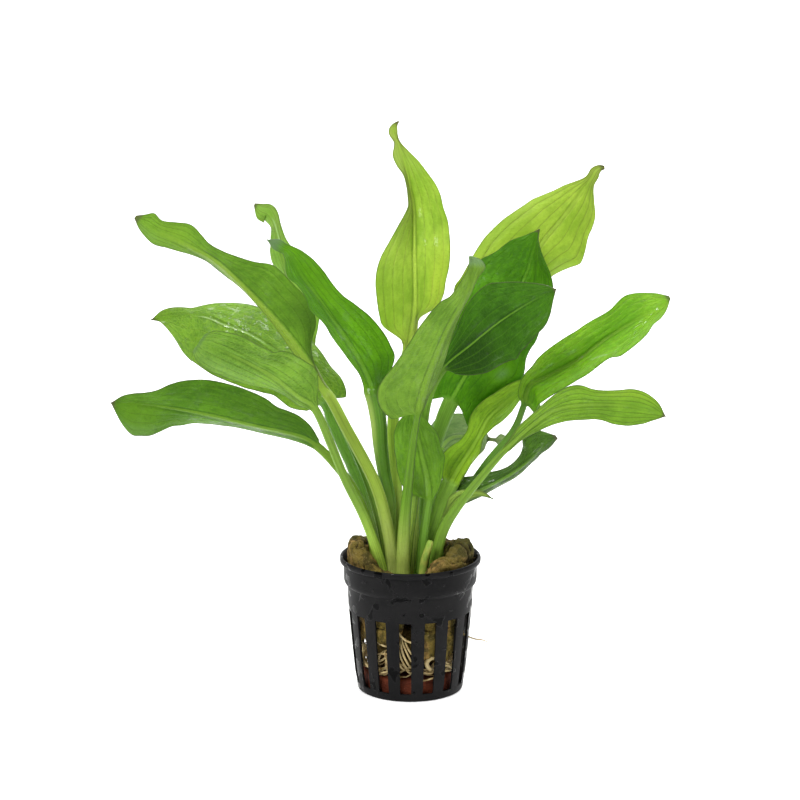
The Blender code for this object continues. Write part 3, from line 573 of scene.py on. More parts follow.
def wool_surface(span, seed):
    """A rounded section carried round the crown from one angle to the other. Its top follows the torn
    height, ripples push its skin in and out, and where they cross zero the skin is creased inwards."""
    along = np.linspace(0, 1, WOOL_STATIONS)[:, None]
    degrees = span[0] + (span[1] - span[0]) * along
    top = np.interp(degrees, *zip(*WOOL_TOP))
    inner = WOOL_INSIDE + 2.2 * bell(degrees + 55, 30)
    shut = np.sqrt(np.clip(1 - (2 * along - 1) ** 24, 0.02, 1))
    corners = np.array([0, 0.11, 0.2, 0.27, 0.31, 0.36, 0.42, 0.5, 0.66, 0.83, 0.93, 1])
    one = np.ones_like(degrees)
    radii = [inner, inner, inner + 0.3, inner + 1.4, inner + 2.8, 22.0 * one, 23.3 * one, 22.9 * one,
             20.8 * one, 19.6 * one, 17.3 * one, inner]
    heights = [32 * one, 42 * one, top - 4, top - 0.9, top, top - 0.3, top - 3, 46 * one,
               34 * one, (WOOL_FOOT + 3) * one, WOOL_FOOT * one, 32 * one]
    p = np.linspace(0, 1, WOOL_AROUND, endpoint=False)
    weight = np.stack([np.interp(p, corners, row) for row in np.eye(len(corners))])
    radius, z = np.hstack(radii) @ weight, np.hstack(heights) @ weight
    middle_radius, middle_z = radius.mean(1, keepdims=True), z.mean(1, keepdims=True)
    radius = middle_radius + (radius - middle_radius) * shut
    z = middle_z + (z - middle_z) * shut
    a = np.radians(degrees)
    points = about_pot(radius, a, z)
    outward = unit(about_pot(radius - middle_radius, a, (z - middle_z) * 0.5) + 1e-6)
    folds = ripple(points, 12, seed)
    pleats = ripple(points, 6.5, seed + 1)
    # The crease both pushes the skin in and, in the wool's colour, is darkened as painted shade.
    crease = 0.9 * bell(folds, 0.15) + 0.5 * bell(pleats, 0.16)
    lumps = 0.55 * folds + 0.35 * pleats - 1.0 * crease + 0.12 * ripple(points, 1.6, seed + 2)
    limit = np.interp(points[..., 2], (24, 40, 46, 50, 58), (0.3, 0.45, 0.8, 1.15, 1.25))
    points = points + outward * (np.clip(lumps, -1.9, 0.9) * limit)[..., None]
    return points, outward, crease


def rag_surface(span, feet, seed):
    """A thin sheet bent round the pot's axis behind the ribs, from the plug down to a ragged foot. Its
    section is a loop: down the outside, round the foot and up the inside."""
    along = np.linspace(0, 1, RAG_STATIONS)[:, None]
    degrees = span[0] + (span[1] - span[0]) * along
    foot = np.interp(along, np.linspace(0, 1, len(feet)), feet)
    foot = foot + 0.7 * np.sin(degrees * 0.9 + seed) + 0.4 * np.sin(degrees * 2.7 + seed)
    p = np.linspace(0, 2 * np.pi, RAG_AROUND, endpoint=False)[None, :]
    drop = 0.5 - 0.5 * np.cos(p)
    z = RAG_TOP + (foot - RAG_TOP) * drop
    side = np.sin(p) * (1.15 - 0.55 * drop) * np.sqrt(np.clip(1 - (2 * along - 1) ** 16, 0.03, 1))
    radius = np.interp(z, SLOT_HEIGHTS, (18.75, 21.5)) - 1.15 + side
    a = np.radians(degrees)
    points = about_pot(radius, a, z)
    ripples = ripple(points, 5.0, seed) * 0.3 - 0.3
    points = points + about_pot(1, a, 0 * a) * ripples[..., None]
    # The crease reading, which the wool's colour darkens as painted shade, is high in the ripples' creases
    # and a little round the rag's foot.
    crease = np.clip(-ripple(points, 4.0, seed + 5), 0, 1) * 0.6 + np.clip(drop - 0.75, 0, 1)
    return points, crease


def torn_wool():
    """Khaki with rust-brown stretches under drawn fibres, darker olive over the listed stretches round
    the pot, and nearly black in the creases, where the shade is painted.
    """
    finish = Finish("torn_mineral_wool", Specular_IOR_Level=0.08)
    crease = finish.read("crease")
    blotch, stain = finish.mottle(12.0, 2.0), finish.mottle(4.5)
    fibre = finish.mottle(0.8, 6.0, 0.7, 2.0)
    colour = finish.layered(
        (0.180, 0.132, 0.028),
        (blotch.rising(0.46, 0.56), (0.32, 0.200, 0.060)),
        (stain.rising(0.48, 0.62) * 0.85, (0.055, 0.046, 0.012)),
        (fibre.rising(0.52, 0.70) * 0.6, (0.40, 0.30, 0.13)),
        (fibre.falling(0.34, 0.47) * 0.7, (0.035, 0.024, 0.007)),
        # Darker olive over the listed stretches round the pot.
        (finish.read("darker_stretch") * 0.85, (0.042, 0.048, 0.013)),
        # Painted shade: nearly black in the creases.
        (crease.rising(0.2, 0.9) * 0.85, (0.018, 0.013, 0.005)),
    )
    return finish.wear(Base_Color=colour, Roughness=0.6 + fibre * 0.3, Normal=finish.bumped(fibre, 0.7, 0.6))


wool = torn_wool()
tuft_roots, tuft_ways = [], []
for half, (node, span) in enumerate(WOOL_HALVES.items()):
    wool_points, wool_out, crease = wool_surface(span, 21 + 7 * half)
    name = "torn_wool_" + node.rsplit("_", 1)[1]
    round_pot = np.degrees(np.arctan2(wool_points[..., 0], -wool_points[..., 1]))
    darker_stretch = sum(depth * bell(round_pot - angle, spread) for angle, spread, depth in DARKER_STRETCHES)
    grow_piece(name, wool_points, closed_faces(WOOL_STATIONS, WOOL_AROUND), wool, [node],
               {"crease": crease, "darker_stretch": darker_stretch})
    shown = (wool_points[..., 2] > TUFT_FROM) & (crease < 0.5)
    tuft_roots.append(wool_points[shown])
    tuft_ways.append(wool_out[shown])
for number, (span, feet) in enumerate(RAGS, 1):
    rag_points, crease = rag_surface(span, feet, 40 + number)
    grow_piece(f"wool_rag_{number}", rag_points, closed_faces(RAG_STATIONS, RAG_AROUND), wool,
               (), {"crease": crease})
tuft_roots, tuft_ways = np.vstack(tuft_roots), np.vstack(tuft_ways)
rng = np.random.default_rng(31)
picked = rng.integers(0, len(tuft_roots), TUFTS)
reach = rng.uniform(0.4, 1.3, (TUFTS, 1, 1))
lean = unit(tuft_ways[picked] * 0.25 + rng.normal(size=(TUFTS, 3)) * 0.75)[:, None]
curl = unit(rng.normal(size=(TUFTS, 3)))[:, None]
t = np.linspace(0, 1, 5)[None, :, None]
tuft_routes = tuft_roots[picked][:, None] - tuft_ways[picked][:, None] * 0.15
tuft_routes = tuft_routes + reach * (lean * t + curl * 0.45 * t**2)
tuft_thick = rng.uniform(0.03, 0.07, (TUFTS, 1)) * (1 - 0.6 * t[..., 0])
tuft_points, tuft_faces = tubes(tuft_routes, tuft_thick, sides=3)
grow_piece("wool_tufts", tuft_points, tuft_faces, wool)

# The crown: the short stout stem that every petiole and root grows from, ringed with the scars and
# brown sheaths of leaves that it has shed. It sits in the torn heart of the wool.
CROWN_PROFILE = ((0.6, 41.4), (5, 41.4), (9.5, 41.3), (12.2, 40.9), (13.7, 39.6), (13.6, 37), (12.9, 34),
                 (10.9, 30.8), (8.2, 28.4), (5.8, 26.6), (3.4, 25.9), (0.6, 25.7))


def crown_skin():
    """Straw and olive, ringed, with brown scars."""
    finish = Finish("crown_skin", Specular_IOR_Level=0.4)
    patch, fine = finish.mottle(4.0, 4.0), finish.mottle(0.7)
    colour = finish.layered(
        (0.30, 0.26, 0.085),
        (patch.rising(0.4, 0.62), (0.075, 0.045, 0.016)),
        (fine * 0.4, (0.42, 0.38, 0.16)),
    )
    return finish.wear(Base_Color=colour, Roughness=0.5 + patch * 0.25, Normal=finish.bumped(fine, 0.6, 0.4))


crown_points, crown_faces = turned_surface(
    finer(CROWN_PROFILE, 56), columns=120, lumps=0.28, size=5.0, seed=9)
grow_piece("leafy_crown", crown_points, crown_faces, crown_skin(), ["crown"])

# The leaves: each grew as one piece, a fleshy channelled petiole that flattens into a lance-shaped
# blade with a ridged midrib and arching side veins. They are wet, and light comes through them.
SIGHT_PITCH = 12.76
SIGHT = np.array([0.0, math.cos(math.radians(SIGHT_PITCH)), -math.sin(math.radians(SIGHT_PITCH))])
PETIOLE_ROWS = 44
BLADE_ROWS = 124
FACE_COLUMNS = 51
BLADE_HALF = 0.22
FLUTTER = 0.6
LONG_WAVE = 4.1
SHORT_WAVE = 2.3
VEIN_SINK = 0.14
VEIN_WIDTH = 0.7
# Places as shares of the blade: where its foot is widest, where its lobes are drawn back farthest,
# where the round petiole has turned flat, and from the midrib out where the side veins run.
BASE_SHARE = 0.05
LOBE_SHARE = 0.05
FLAT_SHARE = 0.045
SIDE_VEINS = (0.31, 0.57, 0.81)
# rib: the midrib's route from the crown to the tip. blade: the route point where the blade begins.
# petiole: its half thickness at the crown and at the blade.
# right, left: how far each edge stands from the midrib at equal steps along the blade, seen from
# the front and looking from the crown to the tip. right_lift, left_lift: how far each edge stands
# nearer (+) or farther (-) than the midrib. lobes: how far each side of the foot is drawn back.
# face: the blade's colour. foot, stalk: the petiole's colour at the crown and higher up. vein: how
# much lighter (+) or darker (-) the side veins are. ladder: how plain the cross veins are. clear:
# the share of light that comes through. ridge: the half width of the pale midrib at its foot. tip,
# tip_from: the tip's colour and where it starts. gloss, shine, specular: how rough, how wet and how
# reflecting the blade is. shade: darker (-) or yellower (+) patches as place along, place across,
# their two spreads, depth; the darker ones are painted shade where a blade or petiole lies in the
# shadow of another leaf or turns from the light, and the yellower ones are partly the leaf's own
# tone and partly painted light. pale: whitish patches, written alike, mostly painted sheen and
# partly pale tone. lines: light (+) or dark (-) lines as place along and across of the start and of
# the end, width, depth; the light ones are pale veins and painted highlights along wet veins and
# fold edges, the dark ones painted shade along folds and beside wet veins.
LEAVES = {
    "upper_left": dict(
        rib=((-6.2, -8.2, 41.8), (-6.4, -8.4, 50), (-9, -9, 66.5), (-13.5, -8, 81.5), (-24, -4, 101),
             (-29.5, 0, 110.5), (-39, 3, 124), (-50, 6, 138), (-68.5, 11, 156.5), (-81, 14, 164),
             (-95.5, 17, 170.5), (-101, 18, 174.2)),
        blade=5, petiole=(2.4, 2),
        right=(2, 1.2, 1.6, 3, 5.8, 11.5, 13.9, 14.5, 14.2, 14.2, 13.4, 9.6, 6.9, 4.9, 4.4, 6.1, 7.4, 5.9,
               4.4, 5.3, 0.8),
        left=(2, 2, 1.9, 1.7, 1.8, 1.8, 1.5, 1.2, 1, 0.9, 0.8, 1.1, 1.7, 1.9, 1.7, 2.2, 3.3, 4.1, 4.9, 3.2,
              0.5),
        right_lift=(0, 1, 2, 3, 4, 4, 2, 1, 0), left_lift=(0, -3, -6, -8, -8, -7, -5, -3, 0),
        face=(0.155, 0.355, 0.024), foot=(0.36, 0.44, 0.1), stalk=(0.26, 0.385, 0.045), ridge=2.3,
        vein=-0.35,
        shade=((0.18, 0.9, 0.16, 0.5, -0.75), (0.3, 0.7, 0.1, 0.5, -0.35), (0.84, 0, 0.14, 1.2, 0.7)),
        pale=((0.95, -0.6, 0.1, 0.5, 0.3), (0.62, -1, 0.25, 0.35, 0.3)),
    ),
    "left_back_tall": dict(
        rib=((-9.8, 6.6, 41.8), (-10, 7.6, 52), (-13, 10, 67), (-18.8, 14.5, 82), (-27.4, 23, 98.5),
             (-37.5, 34, 121), (-43.5, 41, 139), (-47.4, 47, 152.6), (-49.3, 48, 159.5), (-50.9, 50, 166.5),
             (-52.8, 51, 171.3), (-56, 51.5, 172.5), (-58.9, 52, 173.8)),
        blade=5, petiole=(2.2, 2.1),
        right=(2.1, 3.2, 5, 6.5, 8, 9, 10, 9.5, 8.8, 8, 7.1, 6.1, 4.9, 4, 2.9, 2.3, 2, 2.2, 2.2, 1.6, 0.4),
        left=(2.1, 3.5, 5, 5, 5, 4.5, 4, 3, 2.4, 2.2, 2.6, 4, 5, 4.5, 3.7, 3, 2.2, 3.6, 5.2, 4.6, 0.6),
        right_lift=(0, 1, 2, 2, 1, 0), left_lift=(0, -3, -6, -6, -5, -3, 0),
        face=(0.28, 0.5, 0.07), foot=(0.28, 0.4, 0.08), stalk=(0.1, 0.24, 0.018), clear=0.45,
        pale=((0.97, 0.2, 0.06, 0.6, 0.4), (0.75, 0.3, 0.12, 0.5, 0.4)),
        lines=((0.88, -0.2, 0.55, 0.35, 0.12, 1),),
    ),
    "left_back_wide": dict(
        rib=((-12.2, 0.9, 41.8), (-12.5, 1.6, 50), (-15.1, 4, 63), (-20.3, 8, 79), (-28.7, 12, 97.5),
             (-31.5, 14, 105), (-43, 18.5, 118), (-58, 24, 128), (-69, 27, 132), (-79.5, 30, 135),
             (-97.3, 34, 132.7)),
        blade=5, petiole=(2.1, 2.1), lobes=(6, 1.5),
        right=(2.1, 8, 10.2, 10, 10.8, 11.3, 11.3, 10.6, 10.7, 11, 11, 10.7, 10.1, 9.3, 7, 4.7, 3.2, 3.6,
               3.8, 2.9, 0),
        left=(1.8, 7.8, 11.3, 12.3, 13, 14.8, 16.2, 17.6, 18.4, 19.1, 19.3, 19.3, 18.9, 17.7, 17.2, 17.3,
              16.4, 13.2, 6.7, 1.5, 0),
        right_lift=(0, -3, -5, -7, -8, -7, -4, -1, 0), left_lift=(0, 3, 4, 4, 3, 2, 0),
        face=(0.17, 0.37, 0.024), foot=(0.28, 0.4, 0.08), stalk=(0.1, 0.25, 0.02), gloss=0.3, shine=1,
        specular=0.2, ladder=0.5,
        shade=((0.5, 0.35, 0.2, 0.4, -0.5), (0.1, 0.7, 0.15, 0.6, -0.35), (0.8, -0.45, 0.15, 0.5, 0.1)),
        pale=((0.8, -0.85, 0.3, 0.2, 0.2),),
        lines=((0.82, 0, 0.34, 0.02, 0.045, 0.85), (0.6, -0.08, 0.38, -0.06, 0.04, -0.9)),
    ),
    "left_front": dict(
        rib=((-10.2, -9.4, 41.8), (-10.8, -10.2, 50), (-16.5, -14, 68), (-23.5, -18, 84), (-28.5, -22, 98),
             (-34, -26, 112), (-40.5, -28, 117.5), (-49.5, -33, 126), (-61.5, -39, 134),
             (-73.5, -45, 140.5)),
        blade=5, petiole=(1.8, 1.5),
        right=(1.5, 3.5, 9.3, 11, 11.5, 11.9, 11.5, 11.2, 10.8, 10.3, 9.2, 7.5, 7.4, 7.2, 7.4, 7.5, 7.3, 6.9,
               6.4, 5.6, 3.2),
        left=(1.5, 2.4, 2.8, 2.6, 3.2, 4.1, 5.1, 6, 6.7, 7.2, 7.6, 7.9, 8.2, 8.3, 8.3, 8.4, 8.2, 8, 7.5, 6.6,
              4),
        right_lift=(0, 2, 4, 6, 6, 4, 2), left_lift=(0, -6, -8, -8, -6, -4, -2),
        face=(0.176, 0.385, 0.036), foot=(0.38, 0.58, 0.07), stalk=(0.17, 0.31, 0.035), vein=-0.55,
        ladder=0.4,
        shade=((0.55, 0.6, 0.14, 0.3, -0.6), (0.75, 0.45, 0.1, 0.25, -0.5), (0.3, -0.2, 0.3, 0.4, 0.25),
               (0.96, -0.5, 0.08, 0.9, -0.25)),
        tip=(0.13, 0.24, 0.06),
        pale=((0.75, -0.7, 0.3, 0.3, 0.45), (0.97, 0.1, 0.05, 1, 0.1)),
        lines=((0.95, 0.34, 0.3, 0.1, 0.05, -0.8), (0.95, 0.22, 0.12, -0.02, 0.05, 0.5),
               (0.9, -0.35, 0.2, -0.3, 0.05, -0.6)),
    ),
    "left_low": dict(
        rib=((-11.9, -4.2, 41.8), (-12.4, -4.6, 50), (-15.8, -5, 65.5), (-20.9, -7, 78), (-27.5, -9, 87.6),
             (-33.5, -11, 94.5), (-40, -13, 99), (-58, -16, 104), (-75.5, -19, 109), (-93.5, -21, 112.5),
             (-107.2, -22, 113.5)),
        blade=5, petiole=(1.9, 1.6), lobes=(1, 0),
        right=(1.6, 2.6, 5.3, 7.2, 8, 8.6, 10.4, 11.4, 12, 12.4, 12.5, 12.5, 12.2, 11.4, 10.2, 8.3, 5.7, 4.3,
               3.7, 2.6, 0),
        left=(1.6, 2.3, 2.4, 2.3, 2.3, 2.3, 2.2, 2.2, 2.4, 2.9, 3.3, 3.8, 4.4, 5.8, 6.8, 9.1, 11.1, 11.5,
              11.2, 7.2, 0),
        right_lift=(0, 3, 3, 2, 1, 3, 5, 4, 0), left_lift=(0, -5, -8, -9, -9, -8, -6, -3, 0),
        face=(0.09, 0.25, 0.012), foot=(0.36, 0.55, 0.06), stalk=(0.145, 0.27, 0.022), ridge=0.6, vein=-0.3,
        shade=((0.3, 0.5, 0.3, 0.5, -0.35), (0.88, -0.2, 0.15, 0.9, 0.6), (0.6, -0.8, 0.3, 0.4, 0.3)),
        pale=((0.86, -0.9, 0.12, 0.25, 0.5),),
        lines=((1, 0.05, 0.1, -0.25, 0.045, 0.55), (0.8, 0.45, 0.15, 0.3, 0.04, -0.5)),
    ),
    "centre_left": dict(
        rib=((-7.1, 0.6, 41.8), (-7.1, 0.8, 56), (-7.3, 0.6, 70), (-9.6, 0, 82), (-11, -1.5, 93),
             (-11.7, -4, 103), (-13.6, -7, 114), (-18, -12, 126.5), (-28.5, -20, 145), (-38, -26, 160),
             (-42.5, -28, 168.4), (-45.3, -29, 170.8), (-50.4, -30, 173.9)),
        blade=6, petiole=(1.9, 3.3),
        right=(3.3, 6, 9.5, 12, 12.3, 12.5, 12.3, 11.9, 11.2, 10.2, 9.2, 7.8, 7.2, 7.1, 7.2, 6.9, 6.2, 4.5,
               2.2, 2.2, 0),
        left=(3.3, 2.7, 2.7, 3.3, 3.7, 3.9, 4.1, 4.1, 3.8, 4, 4.7, 4.9, 3.8, 3.4, 3.6, 4.7, 4, 2.6, 1.6, 1.8,
              0),
        right_lift=(0, 2, 3, 2, 1, 0), left_lift=(0, -5, -7, -6, -5, -3, 0),
        face=(0.118, 0.36, 0.006), foot=(0.42, 0.56, 0.11), stalk=(0.1, 0.24, 0.02), vein=-0.45,
        tip=(0.16, 0.26, 0.12), tip_from=0.9,
        shade=((0.06, 0.5, 0.09, 0.5, -0.8), (-0.15, -0.7, 0.25, 0.5, 0.7), (0.62, 0.4, 0.25, 0.6, 0.42),
               (0.96, 0, 0.05, 1, -0.5), (-0.3, 0.5, 0.25, 0.5, -0.4)),
        lines=((0.85, -0.25, 0.1, 0.3, 0.05, -0.8), (0.5, 0.7, 0.1, 0.6, 0.05, -0.5)),
    ),
    "front": dict(
        rib=((-2.7, -11.6, 41.8), (-2.7, -12, 51.5), (-2.2, -13, 66), (-0.5, -15, 84.5), (1, -19, 98.5),
             (2.5, -23, 109), (5, -28, 121), (9, -34, 133.5), (13.5, -40, 145.5), (18, -45, 155),
             (21, -47.5, 164), (21.3, -49, 168.5), (20.5, -50, 171.6)),
        blade=5, petiole=(2.45, 1.1), lobes=(0, 6.5),
        right=(1.1, 2, 2.7, 3.6, 3.7, 3.7, 3.6, 3.5, 3.1, 2.8, 2.5, 2.2, 1.9, 1.5, 1.3, 1.4, 1.7, 1.9, 2.4,
               4.2, 1),
        left=(1.1, 9.5, 14.6, 15.8, 14.6, 13.1, 12.1, 11.4, 10.9, 10.3, 9.7, 9, 8.2, 7.4, 6.5, 4.9, 4, 3.3,
              2.5, 1.7, 0.8),
        right_lift=(0, -4, -6, -6, -5, -4, -3, -2, 1, 2), left_lift=(0, 2, 3, 3, 2, 1, 0),
        face=(0.168, 0.35, 0.031), foot=(0.37, 0.47, 0.09), stalk=(0.115, 0.255, 0.014), ridge=1, vein=-0.22,
        tip=(0.2, 0.33, 0.15), tip_from=0.93,
        shade=((0.98, 0.3, 0.07, 2, 0.35), (0.1, 0.8, 0.2, 0.35, -0.4), (-0.4, 0.8, 0.5, 0.5, -0.5)),
    ),
    "top": dict(
        rib=((-4.6, 5, 41.8), (-5, 5, 54), (-5, 5.4, 70), (-5.7, 6.5, 84), (-6.5, 8, 96), (-5.2, 11, 108),
             (-1, 15, 124), (1.6, 15, 141), (1.5, 20, 160), (1.2, 27, 175.5), (-0.4, 30, 184.7),
             (-2.4, 33, 193.6), (-4.5, 35, 199.2), (-6.1, 36.5, 202.8), (-5.7, 38, 205), (-4.2, 39, 206.8)),
        blade=6, petiole=(2.3, 2.1),
        right=(1.9, 2, 2, 2.4, 8.2, 10.6, 11.4, 12.6, 13.2, 13.3, 13, 12.5, 11.1, 10.5, 9.2, 7.2, 5.1, 2.5,
               0.9, 1.5, 0),
        left=(1.9, 3.2, 10.6, 12.7, 13.8, 14.4, 14.6, 13.9, 12.2, 9.4, 6.6, 4, 2.1, 1.7, 1.3, 1.6, 3.3, 3.6,
              1.4, 1.9, 0.4),
        right_lift=(0, -2, 0, 2, 2, 1, 0), left_lift=(0, 3, 4, 5, 7, 8, 6, 3, 1, 0),
        face=(0.355, 0.53, 0.064), foot=(0.52, 0.62, 0.17), stalk=(0.36, 0.56, 0.06), clear=0.5, vein=-0.22,
        shade=((0.3, 0.75, 0.14, 0.35, 0.9), (0.55, 0.1, 0.3, 0.12, -0.25), (0.1, -0.3, 0.1, 0.6, 0.2)),
        pale=((0.62, -0.9, 0.25, 0.5, 0.55), (0.86, -0.3, 0.1, 1, 0.5)),
    ),
    "upper_right": dict(
        rib=((0.8, 7, 41.8), (0.8, 7.2, 50), (2.5, 9, 69), (7, 12.5, 87), (14.5, 16.5, 105.5),
             (25, 22, 125.5), (35.5, 28, 141.5), (48.5, 38, 160), (58, 45, 170.5), (68.2, 54.5, 182.8),
             (70, 56, 185.5), (71.8, 57, 186.8), (73.8, 57.5, 187)),
        blade=5, petiole=(2, 1.6),
        right=(1.6, 3.2, 4.4, 6.2, 7.9, 8.4, 8.9, 10.4, 10.1, 10.2, 12, 14.2, 16.3, 14.8, 12.3, 11.2, 9.4, 6,
               2.7, 2.2, 0.7),
        left=(1.6, 9, 15, 18.5, 18.5, 18.7, 19, 19.1, 19, 18.2, 17.1, 15.5, 14.2, 13.2, 11.3, 9, 7, 4.4, 2.2,
              1.9, 0.7),
        right_lift=(0, -6, -8, -8, -6, -4, -2, 0), left_lift=(0, 2, 3, 3, 2, 1, 0),
        face=(0.37, 0.535, 0.066), foot=(0.44, 0.56, 0.12), stalk=(0.22, 0.42, 0.04), clear=0.5, vein=-0.6,
        shade=((0.75, 0.55, 0.14, 0.5, -0.3), (0.35, -0.5, 0.2, 0.5, 0.3)),
        pale=((0.55, -0.95, 0.25, 0.25, 0.45), (0.5, 1, 0.07, 0.25, 0.9), (0.97, 0, 0.06, 1, 0.4)),
    ),
    "right_back_broad": dict(
        rib=((4.8, 3.2, 41.8), (4.9, 3.5, 52), (5.6, 4.8, 71), (8.6, 6, 89.2), (11.6, 7.5, 99),
             (14.8, 9, 106.5), (19, 11, 114), (27.5, 14, 127), (37, 18, 141.5), (43, 22, 152.5),
             (46, 25, 162.5), (47.8, 26, 168.5)),
        blade=5, petiole=(1.9, 3), lobes=(9, 6),
        right=(3, 11.5, 12.5, 14.2, 15.6, 17.1, 18.4, 17.5, 15.8, 15.2, 15.3, 14.6, 14.1, 13.9, 13.4, 11.8,
               8.9, 5.6, 2.9, 0.8, 0),
        left=(3, 8.5, 11.8, 12.8, 13.7, 14.2, 14.7, 15.3, 15.9, 16.7, 17.6, 18.2, 18.7, 18.7, 18.6, 17.3,
              15.2, 12.6, 9.6, 4.4, 0),
        right_lift=(0, -3, -5, -6, -5, -3, 0), left_lift=(0, 2, 2, 0, -2, -2, 0),
        face=(0.078, 0.275, 0.004), foot=(0.14, 0.3, 0.03), stalk=(0.15, 0.32, 0.03),
        pale=((0.27, 0.62, 0.03, 0.09, 1.1),),
        shade=((0.27, 0.62, 0.07, 0.2, 1), (0.85, 0.6, 0.12, 0.6, -0.3)),
        lines=((0.97, 0, 0.6, -0.15, 0.04, 0.4),),
    ),
    "right_front_broad": dict(
        rib=((-2, -4.8, 41.8), (-1.6, -4.6, 50), (1.2, -3.6, 72), (3.8, -3.2, 91), (6.2, -4, 110),
             (11.8, -6, 122.5), (21.5, -10, 132), (32, -14, 141.5), (42.5, -19, 149.5), (51.5, -23, 155)),
        blade=5, petiole=(1.9, 1.6),
        right=(1.6, 5.2, 7.2, 8.7, 10.1, 11.4, 12, 12.3, 12.8, 13.4, 14.3, 13.3, 12.9, 12.3, 11.5, 10.9,
               10.2, 8.9, 6.7, 3.3, 0),
        left=(1.6, 2.9, 4.2, 5.6, 7.1, 8.3, 9.6, 10.8, 12, 12.9, 13.5, 13.7, 13.3, 11.9, 10.6, 9.3, 7.9, 6.3,
              4.6, 2.7, 0),
        right_lift=(0, 2, 3, 3, 2, 1, 0), left_lift=(0, -2, -4, -4, -3, -1, 0),
        face=(0.039, 0.148, 0.004), foot=(0.4, 0.56, 0.09), stalk=(0.14, 0.3, 0.025), vein=0.42, clear=0.12,
        ridge=0.15,
        shade=((0.2, 0.3, 0.27, 0.9, -1.1), (0.8, 0.85, 0.25, 0.3, 0.35), (0.9, -0.1, 0.15, 0.6, 0.2)),
    ),
    "right": dict(
        rib=((9.4, 4.4, 41.8), (10, 5, 50), (12.9, 6.4, 60), (19.8, 7.4, 71), (28.5, 7.8, 84),
             (38, 7.6, 96.2), (41.8, 7.4, 105.7), (44, 7.4, 113), (50, 7.5, 116.6), (62, 9, 123),
             (73, 10.5, 131), (95.5, 12, 145)),
        blade=6, petiole=(1.7, 1.2), lobes=(8, 0),
        right=(1.2, 8.7, 9.5, 8.4, 7.1, 6.7, 6.6, 6.4, 6.4, 6.2, 6.2, 6.6, 8.1, 8.2, 7.9, 7.4, 6.5, 4.9, 4.4,
               2.9, 0),
        left=(1.2, 3, 3.8, 5.3, 7, 8.2, 8.9, 9.3, 9.5, 9.4, 9, 8.8, 8.5, 8.2, 8.3, 9.2, 9.7, 8.7, 6.8, 4.5,
              1.2),
        right_lift=(0, 5, 7, 7, 6, 5, 3, 1, 0), left_lift=(0, 2, 3, 3, 2, 1, 0),
        face=(0.225, 0.49, 0.02), clear=0.42, foot=(0.12, 0.28, 0.03), stalk=(0.1, 0.24, 0.02), gloss=0.3,
        shine=0.8, specular=0.25, vein=-0.15,
        shade=((0.3, -0.15, 0.2, 0.35, -0.5), (0.06, 0.5, 0.07, 0.6, -0.5), (0.9, 0.2, 0.12, 0.9, 0.35),
               (0.2, -0.85, 0.1, 0.25, 0.5), (0.5, 0.6, 0.25, 0.4, 0.25)),
        pale=((0.85, 0.85, 0.25, 0.25, 0.45), (0.4, 0.75, 0.15, 0.15, 0.5), (0.93, -0.3, 0.1, 1, 0.12)),
        lines=((0.12, 0, 0.32, 0.85, 0.08, 0.5), (0.44, 0.4, 0.56, 0.8, 0.09, 0.8)),
    ),
    "right_low": dict(
        rib=((8.8, -5.8, 41.8), (9.2, -5.8, 50), (11.6, -5.8, 60.5), (16.2, -7, 69.5), (24.2, -10, 81),
             (33.5, -13, 93), (44, -16, 104), (53.5, -20, 111), (67.5, -25, 113.5), (81.5, -30, 113.5),
             (90.2, -34, 111.3)),
        blade=5, petiole=(2.2, 1.15),
        right=(1.1, 1.5, 1.6, 2.1, 2.9, 3.6, 4.4, 5, 5.2, 5.3, 5.4, 5.4, 5.3, 5.8, 6.8, 7.1, 7, 6.2, 5.1,
               2.8, 0),
        left=(1.1, 1.6, 2.1, 2.8, 3.1, 3.2, 3.5, 3.9, 4.8, 6.2, 7.3, 7.1, 5.8, 5.2, 5.2, 5.6, 6.2, 6, 4.8, 3,
              0),
        right_lift=(0, -1, -2, -2, -2, -1, 0), left_lift=(0, 2, 2, 3, 2, 1, 0),
        face=(0.18, 0.385, 0.024), foot=(0.18, 0.32, 0.035), stalk=(0.165, 0.31, 0.033), vein=-0.65,
        shade=((0.8, -0.75, 0.17, 0.35, 0.7), (0.1, 0.4, 0.2, 0.6, -0.3)),
    ),
    "right_inner": dict(
        rib=((3.4, -1.4, 41.8), (5.2, -1.4, 52), (8.6, -1, 61.5), (11.7, 0, 71), (14.6, 1.2, 77.5),
             (18.4, 3, 84), (22.5, 5, 90), (25, 6, 94), (29, 8, 101), (35.5, 11, 106.5), (41.5, 14, 111),
             (46.5, 16, 113.5)),
        blade=4, petiole=(2.2, 3.3),
        right=(3.3, 3.1, 3.2, 3.5, 2, 3.4, 4.6, 4.6, 3.4, 2.3, 0),
        left=(3.6, 7.5, 7.4, 5.4, 5, 6.2, 6, 5.2, 4.5, 3, 0),
        right_lift=(0, 1.5, 2, 1, -2, -4, -3, -1, 0), left_lift=(0, 1.5, 2, 1, 1, 2, 2, 1, 0),
        face=(0.265, 0.53, 0.026), foot=(0.22, 0.4, 0.05), stalk=(0.21, 0.4, 0.045), vein=-0.15,
        shade=((0.15, -0.3, 0.2, 0.25, -0.7), (0.15, 0.5, 0.2, 0.4, 0.4)),
    ),
    "young_centre": dict(
        rib=((4.3, -6.6, 41.8), (4.3, -6.6, 54), (6, -6.4, 69), (6.6, -6.6, 73.5), (6.1, -7, 81),
             (4.6, -7.6, 88.5), (3.3, -8, 94.5), (1.3, -9, 104), (0.6, -9.5, 108.5)),
        blade=3, petiole=(2, 1.6),
        right=(1.6, 4, 5.5, 7, 8.2, 7.6, 7.6, 7.2, 5.6, 3.6, 0),
        left=(1.6, 7.5, 9.6, 10, 10, 9.6, 9.4, 8.8, 8, 5.5, 0),
